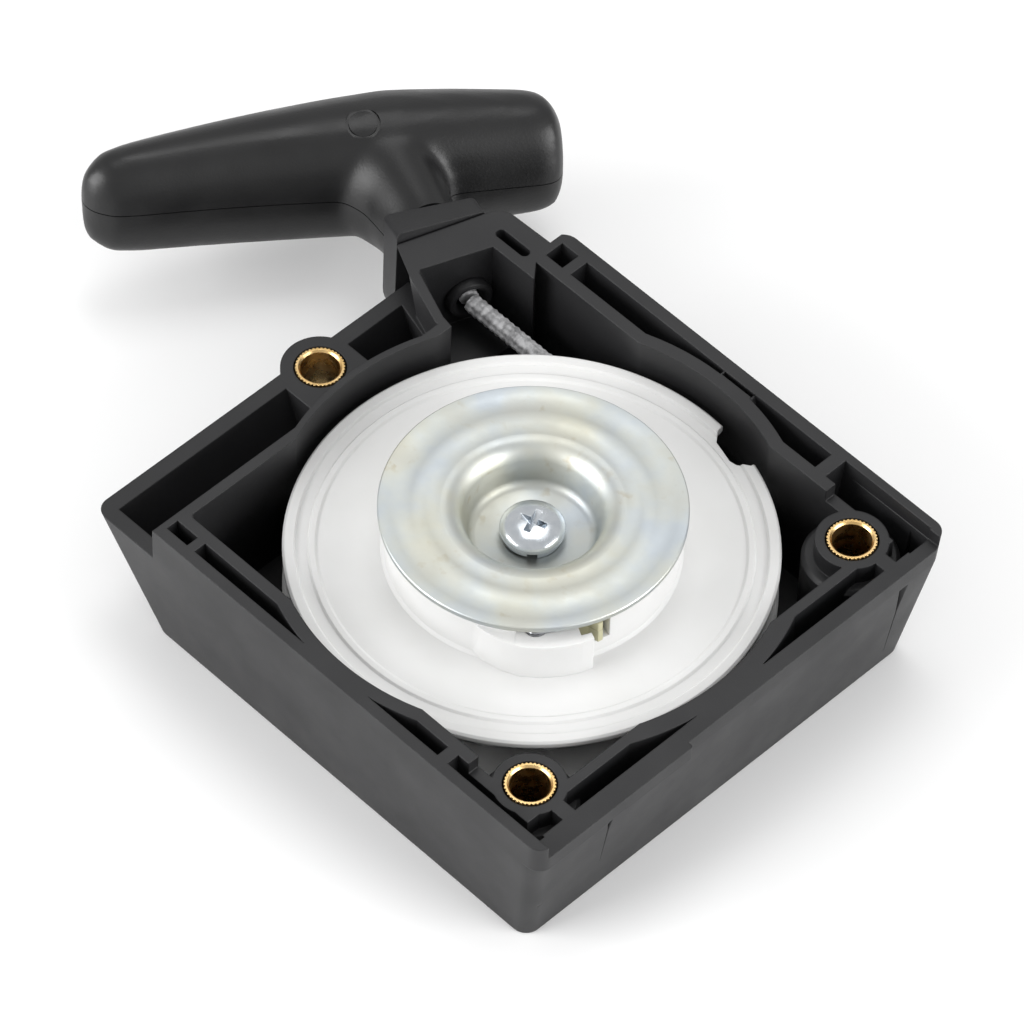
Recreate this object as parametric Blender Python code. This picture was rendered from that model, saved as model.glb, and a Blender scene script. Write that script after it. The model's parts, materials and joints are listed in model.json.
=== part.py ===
"""Recoil starter of a small engine.

The origin is on the pulley axis at the outer face of the housing's floor. +Z runs along the
pulley axis to the open engine side. X and Y run along the sides of the square housing.
Every dimension is in millimetres until mesh_object scales it to metres.
"""

import math

import bmesh
import bpy
from mathutils import Vector

MM = 0.001
GAP = 0.3

# Housing levels above the outer face of the floor
RIM_Z = 26.1
STEP_Z = 23.8
LEDGE_Z = 20.0
FLOOR_Z = 2.0
POCKET_Z = 8.0
RECESS_Z = 11.5

# Outer walls: distance from the axis at the base and at the height where the draft ends
BASE_X = 38.8
BASE_Y = 38.5
WALL_X_MAX = 42.1
WALL_X_MIN = -48.8
WALL_Y_MAX = 42.4
WALL_Y_MIN = -40.8
DRAFT_TOP_X = 21.1
CORNER_R = 2.4
LEDGE_END_Y = 22.2

# Chamber
CHAMBER_R = 37.4
CHAMBER_X_MIN = -34.6
CHAMBER_X_MAX = 35.0
CHAMBER_Y = 34.9

# Screw bosses: centre, radius and top height
BOSS_1 = (-45.8, 1.3)
BOSS_2 = (32.4, 32.6)
BOSS_3 = (32.0, -31.8)
BOSS_1_R = 5.9
BOSS_R = 5.4
BOSS_FOOT_R = 7.2
BOSS_STEP = 3.5
INSERT_R = 3.84
INSERT_BORE_R = 2.95
INSERT_LENGTH = 9.0
INSERT_SEAT_R = 3.95
BOSS_BORE_R = 3.3

# Tower that the rope leaves through
TOWER_SLOPE = 0.30
TOWER_FRONT = ((-51.5, 22.1), (-46.0, 38.8))
GUIDE_CENTRE = (-42.92, 28.7, 16.8)
GUIDE_AXIS = (-0.932, 0.361, 0.0)
GUIDE_R = 3.7
GUIDE_TUBE_R = 3.05
GUIDE_BORE_R = 2.0

# Rope
ROPE_R = 1.5
COIL_R = (27.3, 30.5)
COIL_Z = (14.55, 17.95)

# Pulley
PULLEY_R = 36.0
PULLEY_BORE_R = 5.5
FLANGE_TOP_Z = 21.15
FLANGE = 1.5
GROOVE_R = 25.1
LOWER_FLANGE_Z = 11.35
HUB_R = 21.4
HUB_INNER_R = 19.2
HUB_TOP_Z = 28.6
HUB_FLOOR_Z = 20.9
BOSS_TOP_Z = 21.9

# Centre post, retaining disc and screw
POST_R = 5.4
POST_TOP_Z = 22.0
DISC_R = 22.4
DISC_TOP_Z = 30.0
DISC_FLOOR_Z = 23.2
DISC_THICK = 1.0
SCREW_HEAD_R = 4.8
SCREW_R = 2.4

# Pawls
PAWL_PIN_ANGLE = -43.4
PAWL_PIN_CIRCLE_R = 20.2
PAWL_PIN_R = 1.1
PAWL_Z = (23.9, 26.2)
PAWL_TIP_Z = 27.9
PAWL_EYE_R = 2.6
SHOULDER_TOP_Z = 27.6

# Recoil spring and its cup
CUP_R = 31.0
CUP_TOP_Z = 10.9
SPRING_Z = (2.9, 9.9)
SPRING_OUTER_R = 29.4
SPRING_INNER_R = 11.0
SPRING_TURNS = 8

# Handle: directions across, outwards and up, and the centre of the nose's tower face
ACROSS = Vector((0.4409, 0.8941, -0.0783))
OUTWARD = Vector((-0.8528, 0.3901, -0.3473))
UPWARD = Vector((-0.2800, 0.2199, 0.9345))
NOSE_CENTRE = Vector((-47.45, 28.36, 18.42))
NOSE_WIDTH = 13.6
NOSE_HEIGHT = 15.5
NOSE_LENGTH = 5.6
ARM_LONG = 47.8
ARM_SHORT = 25.1
PULL_LINE = Vector((-0.9006, 0.4347, 0.0)).normalized()
ROPE_HOLE_R = 1.95


# ---------------------------------------------------------------- helpers


def surface(name, colour, roughness, metallic=0.0):
    """A plain Principled material."""
    made = bpy.data.materials.new(name)
    made.use_nodes = True
    shader = made.node_tree.nodes["Principled BSDF"]
    shader.inputs["Base Color"].default_value = (*colour, 1.0)
    shader.inputs["Roughness"].default_value = roughness
    shader.inputs["Metallic"].default_value = metallic
    made.diffuse_color = (*colour, 1.0)
    return made


def mesh_object(name, points, faces):
    """A closed triangle mesh facing out, made from points in millimetres."""
    mesh = bpy.data.meshes.new(name)
    mesh.from_pydata([Vector(p) * MM for p in points], [], faces)
    shape = bmesh.new()
    shape.from_mesh(mesh)
    bmesh.ops.recalc_face_normals(shape, faces=shape.faces)
    bmesh.ops.triangulate(shape, faces=shape.faces)
    shape.to_mesh(mesh)
    shape.free()
    made = bpy.data.objects.new(name, mesh)
    bpy.context.scene.collection.objects.link(made)
    return made


def loft(name, rings):
    """A solid through rings that all have the same number of points."""
    count = len(rings[0])
    points = [p for ring in rings for p in ring]
    faces = [list(range(count)), list(range(len(points) - count, len(points)))]
    for level in range(len(rings) - 1):
        low = level * count
        for i in range(count):
            j = (i + 1) % count
            faces.append((low + i, low + j, low + count + j, low + count + i))
    return mesh_object(name, points, faces)


def prism(name, outline, low, high):
    return loft(name, [[(x, y, z) for x, y in outline] for z in (low, high)])


def circle(radius, steps, centre=(0.0, 0.0), turn=0.0):
    angles = [turn + 2 * math.pi * i / steps for i in range(steps)]
    return [(centre[0] + radius * math.cos(a), centre[1] + radius * math.sin(a)) for a in angles]


def arc(radius, start, end, steps, centre=(0.0, 0.0)):
    """Points of an arc between two angles in degrees."""
    made = []
    for i in range(steps + 1):
        angle = math.radians(start + (end - start) * i / steps)
        made.append((centre[0] + radius * math.cos(angle), centre[1] + radius * math.sin(angle)))
    return made


def cylinder(name, centre, radius, low, high, steps=32):
    return prism(name, circle(radius, steps, centre), low, high)


def turned(name, profile, centre=(0.0, 0.0), steps=48):
    """A solid of revolution from (radius, height) points, bottom to top, closed by flat ends."""
    rings = []
    for radius, height in profile:
        rings.append([(x, y, height) for x, y in circle(radius, steps, centre)])
    return loft(name, rings)


def basis(axis):
    """Two directions square to an axis, the second as near to +Z as it can be."""
    side = Vector((0, 0, 1)).cross(axis)
    if side.length < 1e-6:
        side = Vector((1, 0, 0))
    side.normalize()
    return side, Vector(axis).normalized().cross(side)


def ring_on_axis(name, profile, origin, axis, steps=48):
    """A ring of revolution from a closed loop of (radius, distance along the axis) points."""
    axis = Vector(axis).normalized()
    side, up = basis(axis)
    count = len(profile)
    points = []
    for i in range(steps):
        angle = 2 * math.pi * i / steps
        out = side * math.cos(angle) + up * math.sin(angle)
        points += [Vector(origin) + out * radius + axis * along for radius, along in profile]
    faces = []
    for i in range(steps):
        near = i * count
        far = (i + 1) % steps * count
        for k in range(count):
            n = (k + 1) % count
            faces.append((near + k, near + n, far + n, far + k))
    return mesh_object(name, points, faces)


def ring(name, profile, centre=(0.0, 0.0), steps=48):
    return ring_on_axis(name, profile, (centre[0], centre[1], 0.0), (0, 0, 1), steps)


def rod(name, start, end, radius, steps=24, end_radius=None):
    """A straight round bar between two points."""
    start = Vector(start)
    end = Vector(end)
    side, up = basis((end - start).normalized())
    rings = []
    for point, size in ((start, radius), (end, end_radius or radius)):
        rings.append([point + side * x + up * y for x, y in circle(size, steps)])
    return loft(name, rings)


def block(name, centre, axes, sizes):
    """A box with its own axes."""
    centre = Vector(centre)
    a, b, c = (Vector(axis) * size / 2 for axis, size in zip(axes, sizes))
    rings = []
    for end in (-1, 1):
        rings.append([centre - a - b + c * end, centre + a - b + c * end,
                      centre + a + b + c * end, centre - a + b + c * end])
    return loft(name, rings)


def rounded(corners, steps=4):
    """An outline whose corners (x, y, radius) are rounded; radius 0 keeps one sharp point."""
    outline = []
    count = len(corners)
    for i, (x, y, radius) in enumerate(corners):
        if radius == 0:
            outline.append((x, y))
            continue
        here = Vector((x, y))
        back = (Vector(corners[i - 1][:2]) - here).normalized()
        ahead = (Vector(corners[(i + 1) % count][:2]) - here).normalized()
        half = back.angle(ahead) / 2
        centre = here + (back + ahead).normalized() * radius / math.sin(half)
        first = here + back * radius / math.tan(half) - centre
        last = here + ahead * radius / math.tan(half) - centre
        turn = first.angle_signed(last)
        for k in range(steps + 1):
            angle = -turn * k / steps
            spun = Vector((first.x * math.cos(angle) - first.y * math.sin(angle),
                           first.x * math.sin(angle) + first.y * math.cos(angle)))
            outline.append(tuple(centre + spun))
    return outline


def weld(mesh):
    """Merges the stray points that a Boolean can leave."""
    shape = bmesh.new()
    shape.from_mesh(mesh)
    bmesh.ops.remove_doubles(shape, verts=shape.verts, dist=0.002 * MM)
    bmesh.ops.dissolve_degenerate(shape, edges=shape.edges, dist=0.001 * MM)
    shape.to_mesh(mesh)
    shape.free()


def combine(base, tool, operation):
    """Bakes an exact Boolean into the base and removes the tool."""
    step = base.modifiers.new("combine", "BOOLEAN")
    step.operation = operation
    step.object = tool
    step.solver = "EXACT"
    graph = bpy.context.evaluated_depsgraph_get()
    made = bpy.data.meshes.new_from_object(base.evaluated_get(graph))
    base.modifiers.clear()
    base.data = made
    weld(made)
    bpy.data.objects.remove(tool)


def cut(base, *tools):
    for tool in tools:
        combine(base, tool, "DIFFERENCE")


def join(base, *tools):
    for tool in tools:
        combine(base, tool, "UNION")


def finish(made, material, name=None, origin=None, sharp=35):
    """Welds stray points, gives the object its material and shading, and moves its origin."""
    mesh = made.data
    shape = bmesh.new()
    shape.from_mesh(mesh)
    bmesh.ops.remove_doubles(shape, verts=shape.verts, dist=0.002 * MM)
    bmesh.ops.dissolve_degenerate(shape, edges=shape.edges, dist=0.001 * MM)
    flat = math.radians(0.3)
    bmesh.ops.dissolve_limit(shape, angle_limit=flat, verts=shape.verts, edges=shape.edges)
    bmesh.ops.triangulate(shape, faces=shape.faces)
    if origin is not None:
        move = Vector(origin) * MM
        bmesh.ops.translate(shape, verts=shape.verts, vec=-move)
        made.location = move
    shape.to_mesh(mesh)
    shape.free()
    mesh.materials.clear()
    mesh.materials.append(material)
    mesh.shade_smooth()
    mesh.set_sharp_from_angle(angle=math.radians(sharp))
    if name:
        made.name = name
    return made


def tube(name, route, radius, material, origin=None):
    """A cord or wire along a route, as a capped round curve baked to a mesh."""
    curve = bpy.data.curves.new(name + "_route", "CURVE")
    curve.dimensions = "3D"
    curve.bevel_depth = radius * MM
    curve.bevel_resolution = 2
    curve.use_fill_caps = True
    spline = curve.splines.new("POLY")
    spline.points.add(len(route) - 1)
    for point, place in zip(spline.points, route):
        point.co = (*(Vector(place) * MM), 1.0)
    line = bpy.data.objects.new(name + "_line", curve)
    bpy.context.scene.collection.objects.link(line)
    graph = bpy.context.evaluated_depsgraph_get()
    mesh = bpy.data.meshes.new_from_object(line.evaluated_get(graph))
    bpy.data.objects.remove(line)
    made = bpy.data.objects.new(name, mesh)
    bpy.context.scene.collection.objects.link(made)
    return finish(made, material, origin=origin, sharp=60)


def polar(radius, degrees, z):
    angle = math.radians(degrees)
    return Vector((radius * math.cos(angle), radius * math.sin(angle), z))


def mixed(low, high, share):
    return low + (high - low) * min(max(share, 0.0), 1.0)


# ---------------------------------------------------------------- housing


def housing_ring(z, inset=0.0):
    """Outside of the housing at a height, without the tower."""
    x_max = mixed(BASE_X, WALL_X_MAX, z / DRAFT_TOP_X) - inset
    x_min = mixed(-BASE_X, WALL_X_MIN, z / LEDGE_Z) + inset
    y_max = mixed(BASE_Y, WALL_Y_MAX, z / RIM_Z) - inset
    y_min = mixed(-BASE_Y, WALL_Y_MIN, z / LEDGE_Z) + inset
    corners = [
        (x_min, y_min, CORNER_R),
        (x_max, y_min, CORNER_R),
        (x_max, y_max, CORNER_R),
        (-36.9, y_max, 2.8),
        (-36.9, LEDGE_END_Y, 0),
        (x_min, LEDGE_END_Y, 0),
    ]
    return [(x, y, z) for x, y in rounded(corners)]


def tower_ring(z):
    """Outside of the tower at a height; its front and left side lean in towards the base."""
    lean = TOWER_SLOPE * (RIM_Z - z)
    front = Vector((0.950, -0.312)) * lean
    left = Vector((0.434, 0.901)) * lean
    tip = Vector(TOWER_FRONT[0])
    root = Vector((-45.9, 19.4))
    back = Vector(TOWER_FRONT[1])
    tip += front + left * 0.6
    root += left
    back += Vector((front.x * 1.05, 0.0))
    corners = [
        (tip.x, tip.y, 0.6),
        (root.x, root.y, 0),
        (-36.8, 16.0, 0),
        (-34.2, 16.0, 0),
        (-32.0, 32.0, 0),
        (-34.6, 39.1, 0),
        (back.x, back.y, 3.2),
    ]
    return [(x, y, z) for x, y in rounded(corners)]


def side_point(side, along, out):
    """A point given by its place along a wall and its distance out from the axis."""
    places = {"-y": (along, -out), "+y": (along, out), "+x": (out, along), "-x": (-out, along)}
    return places[side]


def wall_pocket(name, side, start, end, near, far_top, far_low, top=RIM_Z, arc_r=None):
    """A moulding pocket between two walls. With arc_r its end towards the middle follows the chamber."""
    rings = []
    for z, far in ((POCKET_Z, far_low), (top + 1.0, far_top)):
        outline = [(start, near), (start, far)]
        if arc_r is None:
            outline += [(end, far), (end, near)]
        else:
            sign = 1 if start > 0 else -1
            reach = math.sqrt(max(arc_r**2 - far**2, end**2))
            root = math.sqrt(arc_r**2 - near**2)
            outline.append((sign * reach, far))
            for k in range(7):
                along = reach + (root - reach) * k / 6
                outline.append((sign * along, min(far - 0.05, math.sqrt(arc_r**2 - along**2))))
        rings.append([(*side_point(side, u, v), z) for u, v in outline])
    return loft(name, rings)


def step_cutter():
    """The space above the lower level of the +X side."""
    return prism("cut", [(24.8, -38.95), (60, -38.95), (60, 40.7), (24.8, 40.7)], STEP_Z, 40)


def ledge_cutter():
    """The space above the -X ledge, outside the chamber's curved wall."""
    steps = arc(38.4, 199.3, 160.7, 16)
    outline = [(-60, -60), (-36.25, -60)] + steps + [(-36.25, 60), (-60, 60)]
    return prism("cut", outline, LEDGE_Z, 40)


def chamber_cutters():
    corner = 0.8
    square = rounded(
        [
            (CHAMBER_X_MIN, -CHAMBER_Y, corner),
            (CHAMBER_X_MAX, -CHAMBER_Y, corner),
            (CHAMBER_X_MAX, CHAMBER_Y, corner),
            (-35.0, CHAMBER_Y, 0),
            (-32.8, 32.35, 0),
            (CHAMBER_X_MIN, 32.35, 0),
        ]
    )
    recess = []
    for z, corner_x, corner_y in ((RECESS_Z, -44.2, 25.4), (RIM_Z + 1.0, -45.8, 21.1)):
        outline = [(corner_x, corner_y), (-41.5, 32.35), (-33.0, 32.35), (-33.0, 16.9), (-36.7, 17.5)]
        recess.append([(x, y, z) for x, y in outline])
    return [
        prism("cut", square, FLOOR_Z, 40),
        cylinder("cut", (0, 0), CHAMBER_R, FLOOR_Z, 40, 80),
        loft("cut", recess),
    ]


def pocket_cutters():
    tools = [
        wall_pocket("cut", "-y", -35.2, -30.9, 36.8, 39.0, 37.6),
        wall_pocket("cut", "-y", -29.4, -4.0, 36.8, 39.0, 37.6, arc_r=39.5),
        wall_pocket("cut", "-y", 20.7, 4.0, 36.8, 39.0, 37.6, arc_r=39.5),
        wall_pocket("cut", "-y", 22.7, 40.0, 36.8, 39.0, 37.6),
        wall_pocket("cut", "+y", -35.0, -31.5, 36.9, 40.5, 37.9),
        wall_pocket("cut", "+y", -29.8, -0.6, 36.9, 40.5, 37.9, arc_r=39.5),
        wall_pocket("cut", "+y", 20.6, 4.6, 36.9, 40.5, 37.9, arc_r=39.5),
        wall_pocket("cut", "+y", 22.8, 39.9, 36.8, 41.2, 37.9),
        wall_pocket("cut", "+x", -30.4, -5.0, 36.6, 39.9, 38.2, arc_r=40.2),
        wall_pocket("cut", "+x", 31.9, 6.1, 36.6, 39.9, 38.2, arc_r=40.2),
        wall_pocket("cut", "+x", -38.5, -32.8, 36.6, 39.9, 38.2),
        wall_pocket("cut", "+x", 34.2, 40.5, 36.6, 39.9, 38.2),
        prism("cut", [(-1.0, 39.5), (5.0, 39.5), (5.0, 40.3), (-1.0, 40.3)], 22.0, 40),
    ]
    rings = []
    for z, far in ((POCKET_Z, 40.8), (LEDGE_Z + 1.0, 46.7)):
        outline = [(-38.3, 36.25), (-38.3, far), (-5.15, far), (-5.15, 38.05)]
        outline += [(-7.7, 37.6), (-10.2, 37.0), (-12.7, 36.25)]
        rings.append([(-v, u, z) for u, v in outline])
    tools.append(loft("cut", rings))
    rings = []
    for z, far in ((POCKET_Z, 40.8), (LEDGE_Z + 1.0, 46.7)):
        outline = [(7.3, far), (18.3, far), (15.6, 36.9), (13.5, 36.3), (10.4, 37.3), (7.3, 38.0)]
        rings.append([(-v, u, z) for u, v in outline])
    tools.append(loft("cut", rings))
    return tools


def wall_groove(along, top, bottom, width):
    """A tapering V groove in the +X wall's outside."""
    rings = []
    for z, share in ((bottom, 0.15), (top, 1.0)):
        face = mixed(BASE_X, WALL_X_MAX, z / DRAFT_TOP_X)
        half = width * share / 2
        wide = half * 1.4
        outline = [(face + 2, along - wide), (face + 2, along + wide), (face - 1.1 * share, along)]
        rings.append([(x, y, z) for x, y in outline])
    return loft("cut", rings)


def make_housing(material):
    body = loft("housing", [housing_ring(z) for z in (0.0, LEDGE_Z, DRAFT_TOP_X, RIM_Z)])
    join(body, turned("boss", [(4.6, 5.0), (BOSS_1_R, 9.0), (BOSS_1_R, 24.0)], BOSS_1, 36))
    cut(body, ledge_cutter())
    pad = rounded([(38.0, -40.8, 0), (43.1, -40.8, CORNER_R), (43.1, -10.5, 0.4), (38.0, -10.5, 0)])
    join(body, prism("pad", pad, DRAFT_TOP_X, RIM_Z))
    join(body, loft("tower", [tower_ring(z) for z in (0.0, 6.0, RIM_Z)]))
    cut(body, *chamber_cutters())
    cut(body, *pocket_cutters())
    for centre in (BOSS_2, BOSS_3):
        foot_top = STEP_Z - BOSS_STEP
        profile = [(BOSS_FOOT_R, FLOOR_Z - 1), (BOSS_FOOT_R, foot_top - 0.6), (BOSS_FOOT_R - 0.6, foot_top)]
        profile += [(BOSS_R, foot_top + 0.1), (BOSS_R, STEP_Z + 1.0)]
        boss = turned("boss", profile, centre, 36)
        combine(boss, loft("limit", [housing_ring(z, 0.5) for z in (0.5, LEDGE_Z, RIM_Z)]), "INTERSECT")
        join(body, boss)
    cut(body, step_cutter())
    for centre, top in ((BOSS_1, LEDGE_Z), (BOSS_2, STEP_Z), (BOSS_3, STEP_Z)):
        cut(body, cylinder("cut", centre, BOSS_BORE_R, -1, 40))
        cut(body, cylinder("cut", centre, INSERT_SEAT_R, top - INSERT_LENGTH - GAP, 40, 40))
    slot = arc(0.85, 90, 270, 8, (-42.45, 35.0)) + arc(0.85, -90, 90, 8, (-37.55, 35.0))
    cut(body, prism("cut", slot, 14.0, 40))
    cut(body, wall_groove(-25.3, 21.3, 7.5, 3.6), wall_groove(33.6, 20.6, 3.0, 3.6))
    guide = Vector(GUIDE_CENTRE)
    axis = Vector(GUIDE_AXIS)
    cut(body, rod("cut", guide - axis * 6, guide + axis * 2.0, GUIDE_TUBE_R + 0.15, 32))
    cut(body, rod("cut", guide, guide + axis * 9, 2.5, 24))
    join(body, turned("post", [(9.0, FLOOR_Z - 1), (9.0, 2.2), (POST_R, 2.6), (POST_R, POST_TOP_Z)]))
    cut(body, cylinder("cut", (0, 0), 3.3, 8.0, 40))
    return finish(body, material, sharp=30)


def make_inserts(material):
    """Knurled brass inserts, open right through."""
    places = ((BOSS_1, LEDGE_Z), (BOSS_2, STEP_Z), (BOSS_3, STEP_Z))
    for number, (centre, top) in enumerate(places, 1):
        low = top - INSERT_LENGTH
        rings = []
        for z, shrink in ((low, 0.12), (top - 0.4, 0.0), (top + 0.1, 0.16)):
            outer = []
            for i in range(56):
                radius = INSERT_R - shrink - (0.22 if i % 2 else 0.0)
                outer.append(circle(radius, 56, centre)[i])
            rings.append([(x, y, z) for x, y in outer])
        made = loft("insert", rings)
        bore = [(INSERT_BORE_R, low - 1), (INSERT_BORE_R, top - 0.3), (INSERT_BORE_R + 0.7, top + 0.4)]
        cut(made, turned("cut", bore, centre, 28))
        finish(made, material, f"brass_insert_{number}")


def make_guide(material):
    profile = [(3.7, -0.1), (3.7, -0.8), (3.4, -1.3), (2.9, -1.5), (2.4, -1.2), (2.1, -0.6)]
    profile += [(GUIDE_BORE_R, 0.1), (GUIDE_BORE_R, 1.8), (GUIDE_TUBE_R, 1.8), (GUIDE_TUBE_R, -0.1)]
    made = ring_on_axis("rope_guide", profile, GUIDE_CENTRE, GUIDE_AXIS, 40)
    return finish(made, material)


# ---------------------------------------------------------------- spring and pulley


def make_cup(material):
    low = FLOOR_Z + GAP
    inner = CUP_TOP_Z - 0.6
    profile = [(CUP_R, low), (CUP_R, CUP_TOP_Z - 0.8), (CUP_R - 0.3, CUP_TOP_Z - 0.2)]
    profile += [(CUP_R - 0.9, CUP_TOP_Z)]
    profile += [(9.9, CUP_TOP_Z), (9.9, inner), (CUP_R - 1.0, inner), (CUP_R - 0.6, inner - 0.5)]
    profile += [(CUP_R - 0.6, low)]
    return finish(ring("spring_cup", profile, steps=56), material)


def make_spring(material):
    """A flat spiral strip; its inner end bends towards the pulley's slot."""
    per_turn = 20
    count = SPRING_TURNS * per_turn
    half = 0.25
    middle = []
    for i in range(count + 1):
        share = i / count
        radius = SPRING_INNER_R + (SPRING_OUTER_R - SPRING_INNER_R) * share
        middle.append(polar(radius, 360 * SPRING_TURNS * share, 0.0))
    middle.insert(0, polar(9.9, -6, 0.0))
    middle.insert(0, polar(8.3, -7, 0.0))
    outline = []
    for side in (1, -1):
        edge = []
        for i, place in enumerate(middle):
            before = middle[max(i - 1, 0)]
            after = middle[min(i + 1, len(middle) - 1)]
            run = (after - before).normalized()
            edge.append(place + Vector((-run.y, run.x, 0)) * half * side)
        outline.append(edge)
    points = []
    for place, other in zip(*outline):
        for z in SPRING_Z:
            points += [(place.x, place.y, z), (other.x, other.y, z)]
    faces = []
    for i in range(len(middle) - 1):
        a = 4 * i
        b = a + 4
        faces += [(a, a + 1, b + 1, b), (a + 2, a + 3, b + 3, b + 2)]
        faces += [(a, a + 2, b + 2, b), (a + 1, a + 3, b + 3, b + 1)]
    last = 4 * (len(middle) - 1)
    faces += [(0, 1, 3, 2), (last, last + 1, last + 3, last + 2)]
    return finish(mesh_object("recoil_spring", points, faces), material)


def sector(inner, outer, start, end, low, high):
    outline = arc(outer, start, end, 8) + arc(inner, end, start, 8)
    return prism("cut", outline, low, high)


def make_pulley(material):
    groove_low = LOWER_FLANGE_Z + FLANGE
    groove_high = FLANGE_TOP_Z - FLANGE
    profile = [
        (PULLEY_BORE_R, FLOOR_Z + 0.9), (9.3, FLOOR_Z + 0.9),
        (9.3, LOWER_FLANGE_Z), (PULLEY_R - 0.3, LOWER_FLANGE_Z),
        (PULLEY_R, LOWER_FLANGE_Z + 0.3), (PULLEY_R, groove_low - 0.4), (PULLEY_R - 0.4, groove_low - 0.1),
        (GROOVE_R + 0.6, groove_low), (GROOVE_R, groove_low + 0.6), (GROOVE_R, groove_high - 0.6),
        (GROOVE_R + 0.6, groove_high), (PULLEY_R - 0.4, groove_high + 0.1), (PULLEY_R, groove_high + 0.4),
        (PULLEY_R, FLANGE_TOP_Z - 0.35), (PULLEY_R - 0.35, FLANGE_TOP_Z), (34.3, FLANGE_TOP_Z),
        (34.0, FLANGE_TOP_Z - 0.45), (32.4, FLANGE_TOP_Z - 0.45), (32.1, FLANGE_TOP_Z - 0.1),
        (31.3, FLANGE_TOP_Z - 0.1), (30.9, HUB_FLOOR_Z - 0.1), (HUB_R + 0.5, HUB_FLOOR_Z - 0.1),
        (HUB_R, HUB_FLOOR_Z + 0.4), (HUB_R, HUB_TOP_Z - 0.3), (HUB_R - 0.3, HUB_TOP_Z),
        (HUB_INNER_R, HUB_TOP_Z), (HUB_INNER_R, HUB_FLOOR_Z + 0.2), (9.4, HUB_FLOOR_Z + 0.2),
        (9.0, BOSS_TOP_Z), (PULLEY_BORE_R, BOSS_TOP_Z),
    ]
    body = ring("pulley", profile, steps=64)
    swing_room = [(18.0, 1.0), (20.0, 1.0), (20.1, 8.0), (20.6, 15.4), (21.6, 18.5), (22.5, 21.2)]
    swing_room.append((18.0, 21.2))
    shoulder = [(-27, 21.0), (-20, 22.1), (-12, 23.2), (-5, 23.9), (2, 24.1), (9, 24.1)]
    shoulder += [(16, 24.0), (20.5, 23.7)]
    for turn in (0, 180):
        outline = [polar(r, PAWL_PIN_ANGLE + turn + a, 0).xy for a, r in shoulder]
        outline += [polar(18.8, PAWL_PIN_ANGLE + turn + a, 0).xy for a in (20.5, 8, -4, -15, -27)]
        join(body, prism("shoulder", outline, HUB_FLOOR_Z - 1, SHOULDER_TOP_Z))
    for turn in (0, 180):
        angle = PAWL_PIN_ANGLE + turn
        pin = polar(PAWL_PIN_CIRCLE_R, angle, 0)
        cut(body, cylinder("cut", pin.xy, PAWL_EYE_R + 0.25, PAWL_Z[0] - 0.3, PAWL_Z[1] + 0.15, 28))
        cut(body, cylinder("cut", pin.xy, PAWL_PIN_R + 0.65, PAWL_Z[1] - 0.5, 40, 28))
        cut(body, sector(14.0, 26.0, angle - 7.5, angle + 17.0, SHOULDER_TOP_Z - 0.03, 40))
        cut(body, sector(15.5, 26.0, angle + 20.8, angle + 29.8, PAWL_Z[0] - 0.2, 40))
        cut(body, sector(15.6, 22.6, angle + 16.6, angle + 21.3, PAWL_Z[0] - 0.25, 40))
        cut(body, sector(15.2, 19.6, angle - 6.0, angle + 20.0, PAWL_Z[0] - 0.35, 40))
        room = [polar(r, angle + a, 0).xy for r, a in swing_room]
        cut(body, prism("cut", room, PAWL_Z[0] - 0.15, PAWL_Z[1] + 0.1))
        cut(body, cylinder("cut", pin.xy, PAWL_PIN_R + 0.06, 15.0, 40))
    notch = [(2.6, 40), (3.4, 34.6), (4.6, 33.1), (6.4, 32.6), (8.4, 32.0), (9.6, 32.2)]
    notch += [(11.4, 33.4), (12.2, 40)]
    cut(body, prism("cut", notch, groove_high - 0.6, 40))
    cut(body, cylinder("cut", polar(20.6, 200, 0).xy, 3.7, 5.0, 16.9, 28))
    cut(body, rod("cut", polar(20.0, 199, 14.9), polar(29.0, 209, 14.8), 2.2, 20))
    slot = [polar(7.4, -12, 0).xy, polar(12, -9.5, 0).xy, polar(12, -3.0, 0).xy, polar(7.4, -2.0, 0).xy]
    cut(body, prism("cut", slot, FLOOR_Z, 10.6))
    return finish(body, material, origin=(0, 0, HUB_FLOOR_Z), sharp=30)


def coil_route():
    """Rope on the pulley: two layers of two turns, from the knot hole to the outer layer."""
    lanes = [(20.0, COIL_R[0], COIL_Z[0]), (340.0, COIL_R[0], COIL_Z[0]), (380.0, COIL_R[0], COIL_Z[1])]
    lanes += [(640.0, COIL_R[0], COIL_Z[1]), (690.0, COIL_R[1], COIL_Z[1])]
    lanes += [(960.0, COIL_R[1], COIL_Z[1]), (1010.0, COIL_R[1], COIL_Z[0]), (1330.0, COIL_R[1], COIL_Z[0])]
    route = [polar(23.6, 203.5, 14.9), polar(25.6, 205.5, 14.8)]
    base = 190.0
    angle = lanes[0][0]
    while angle <= lanes[-1][0]:
        for low, high in zip(lanes, lanes[1:]):
            if low[0] <= angle <= high[0]:
                share = (angle - low[0]) / (high[0] - low[0])
                radius = low[1] + (high[1] - low[1]) * share
                z = low[2] + (high[2] - low[2]) * share
        route.append(polar(radius, base + angle, z))
        angle += 17.0
    return route


def knot(name, centre, radius, material, origin=None):
    """A tight overhand knot, as one lumpy ball."""
    rows = 8
    columns = 14
    centre = Vector(centre)
    rings = []
    for i in range(rows):
        polar_angle = math.pi * (i + 0.5) / rows
        loop = []
        for j in range(columns):
            turn = 2 * math.pi * j / columns
            size = radius * (0.9 + 0.1 * math.cos(3 * turn + 4 * polar_angle))
            out = Vector((math.sin(polar_angle) * math.cos(turn), math.sin(polar_angle) * math.sin(turn)))
            loop.append(centre + Vector((out.x, out.y, -math.cos(polar_angle))) * size)
        rings.append(loop)
    return finish(loft(name, rings), material, origin=origin, sharp=80)


# ---------------------------------------------------------------- pawls


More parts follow.
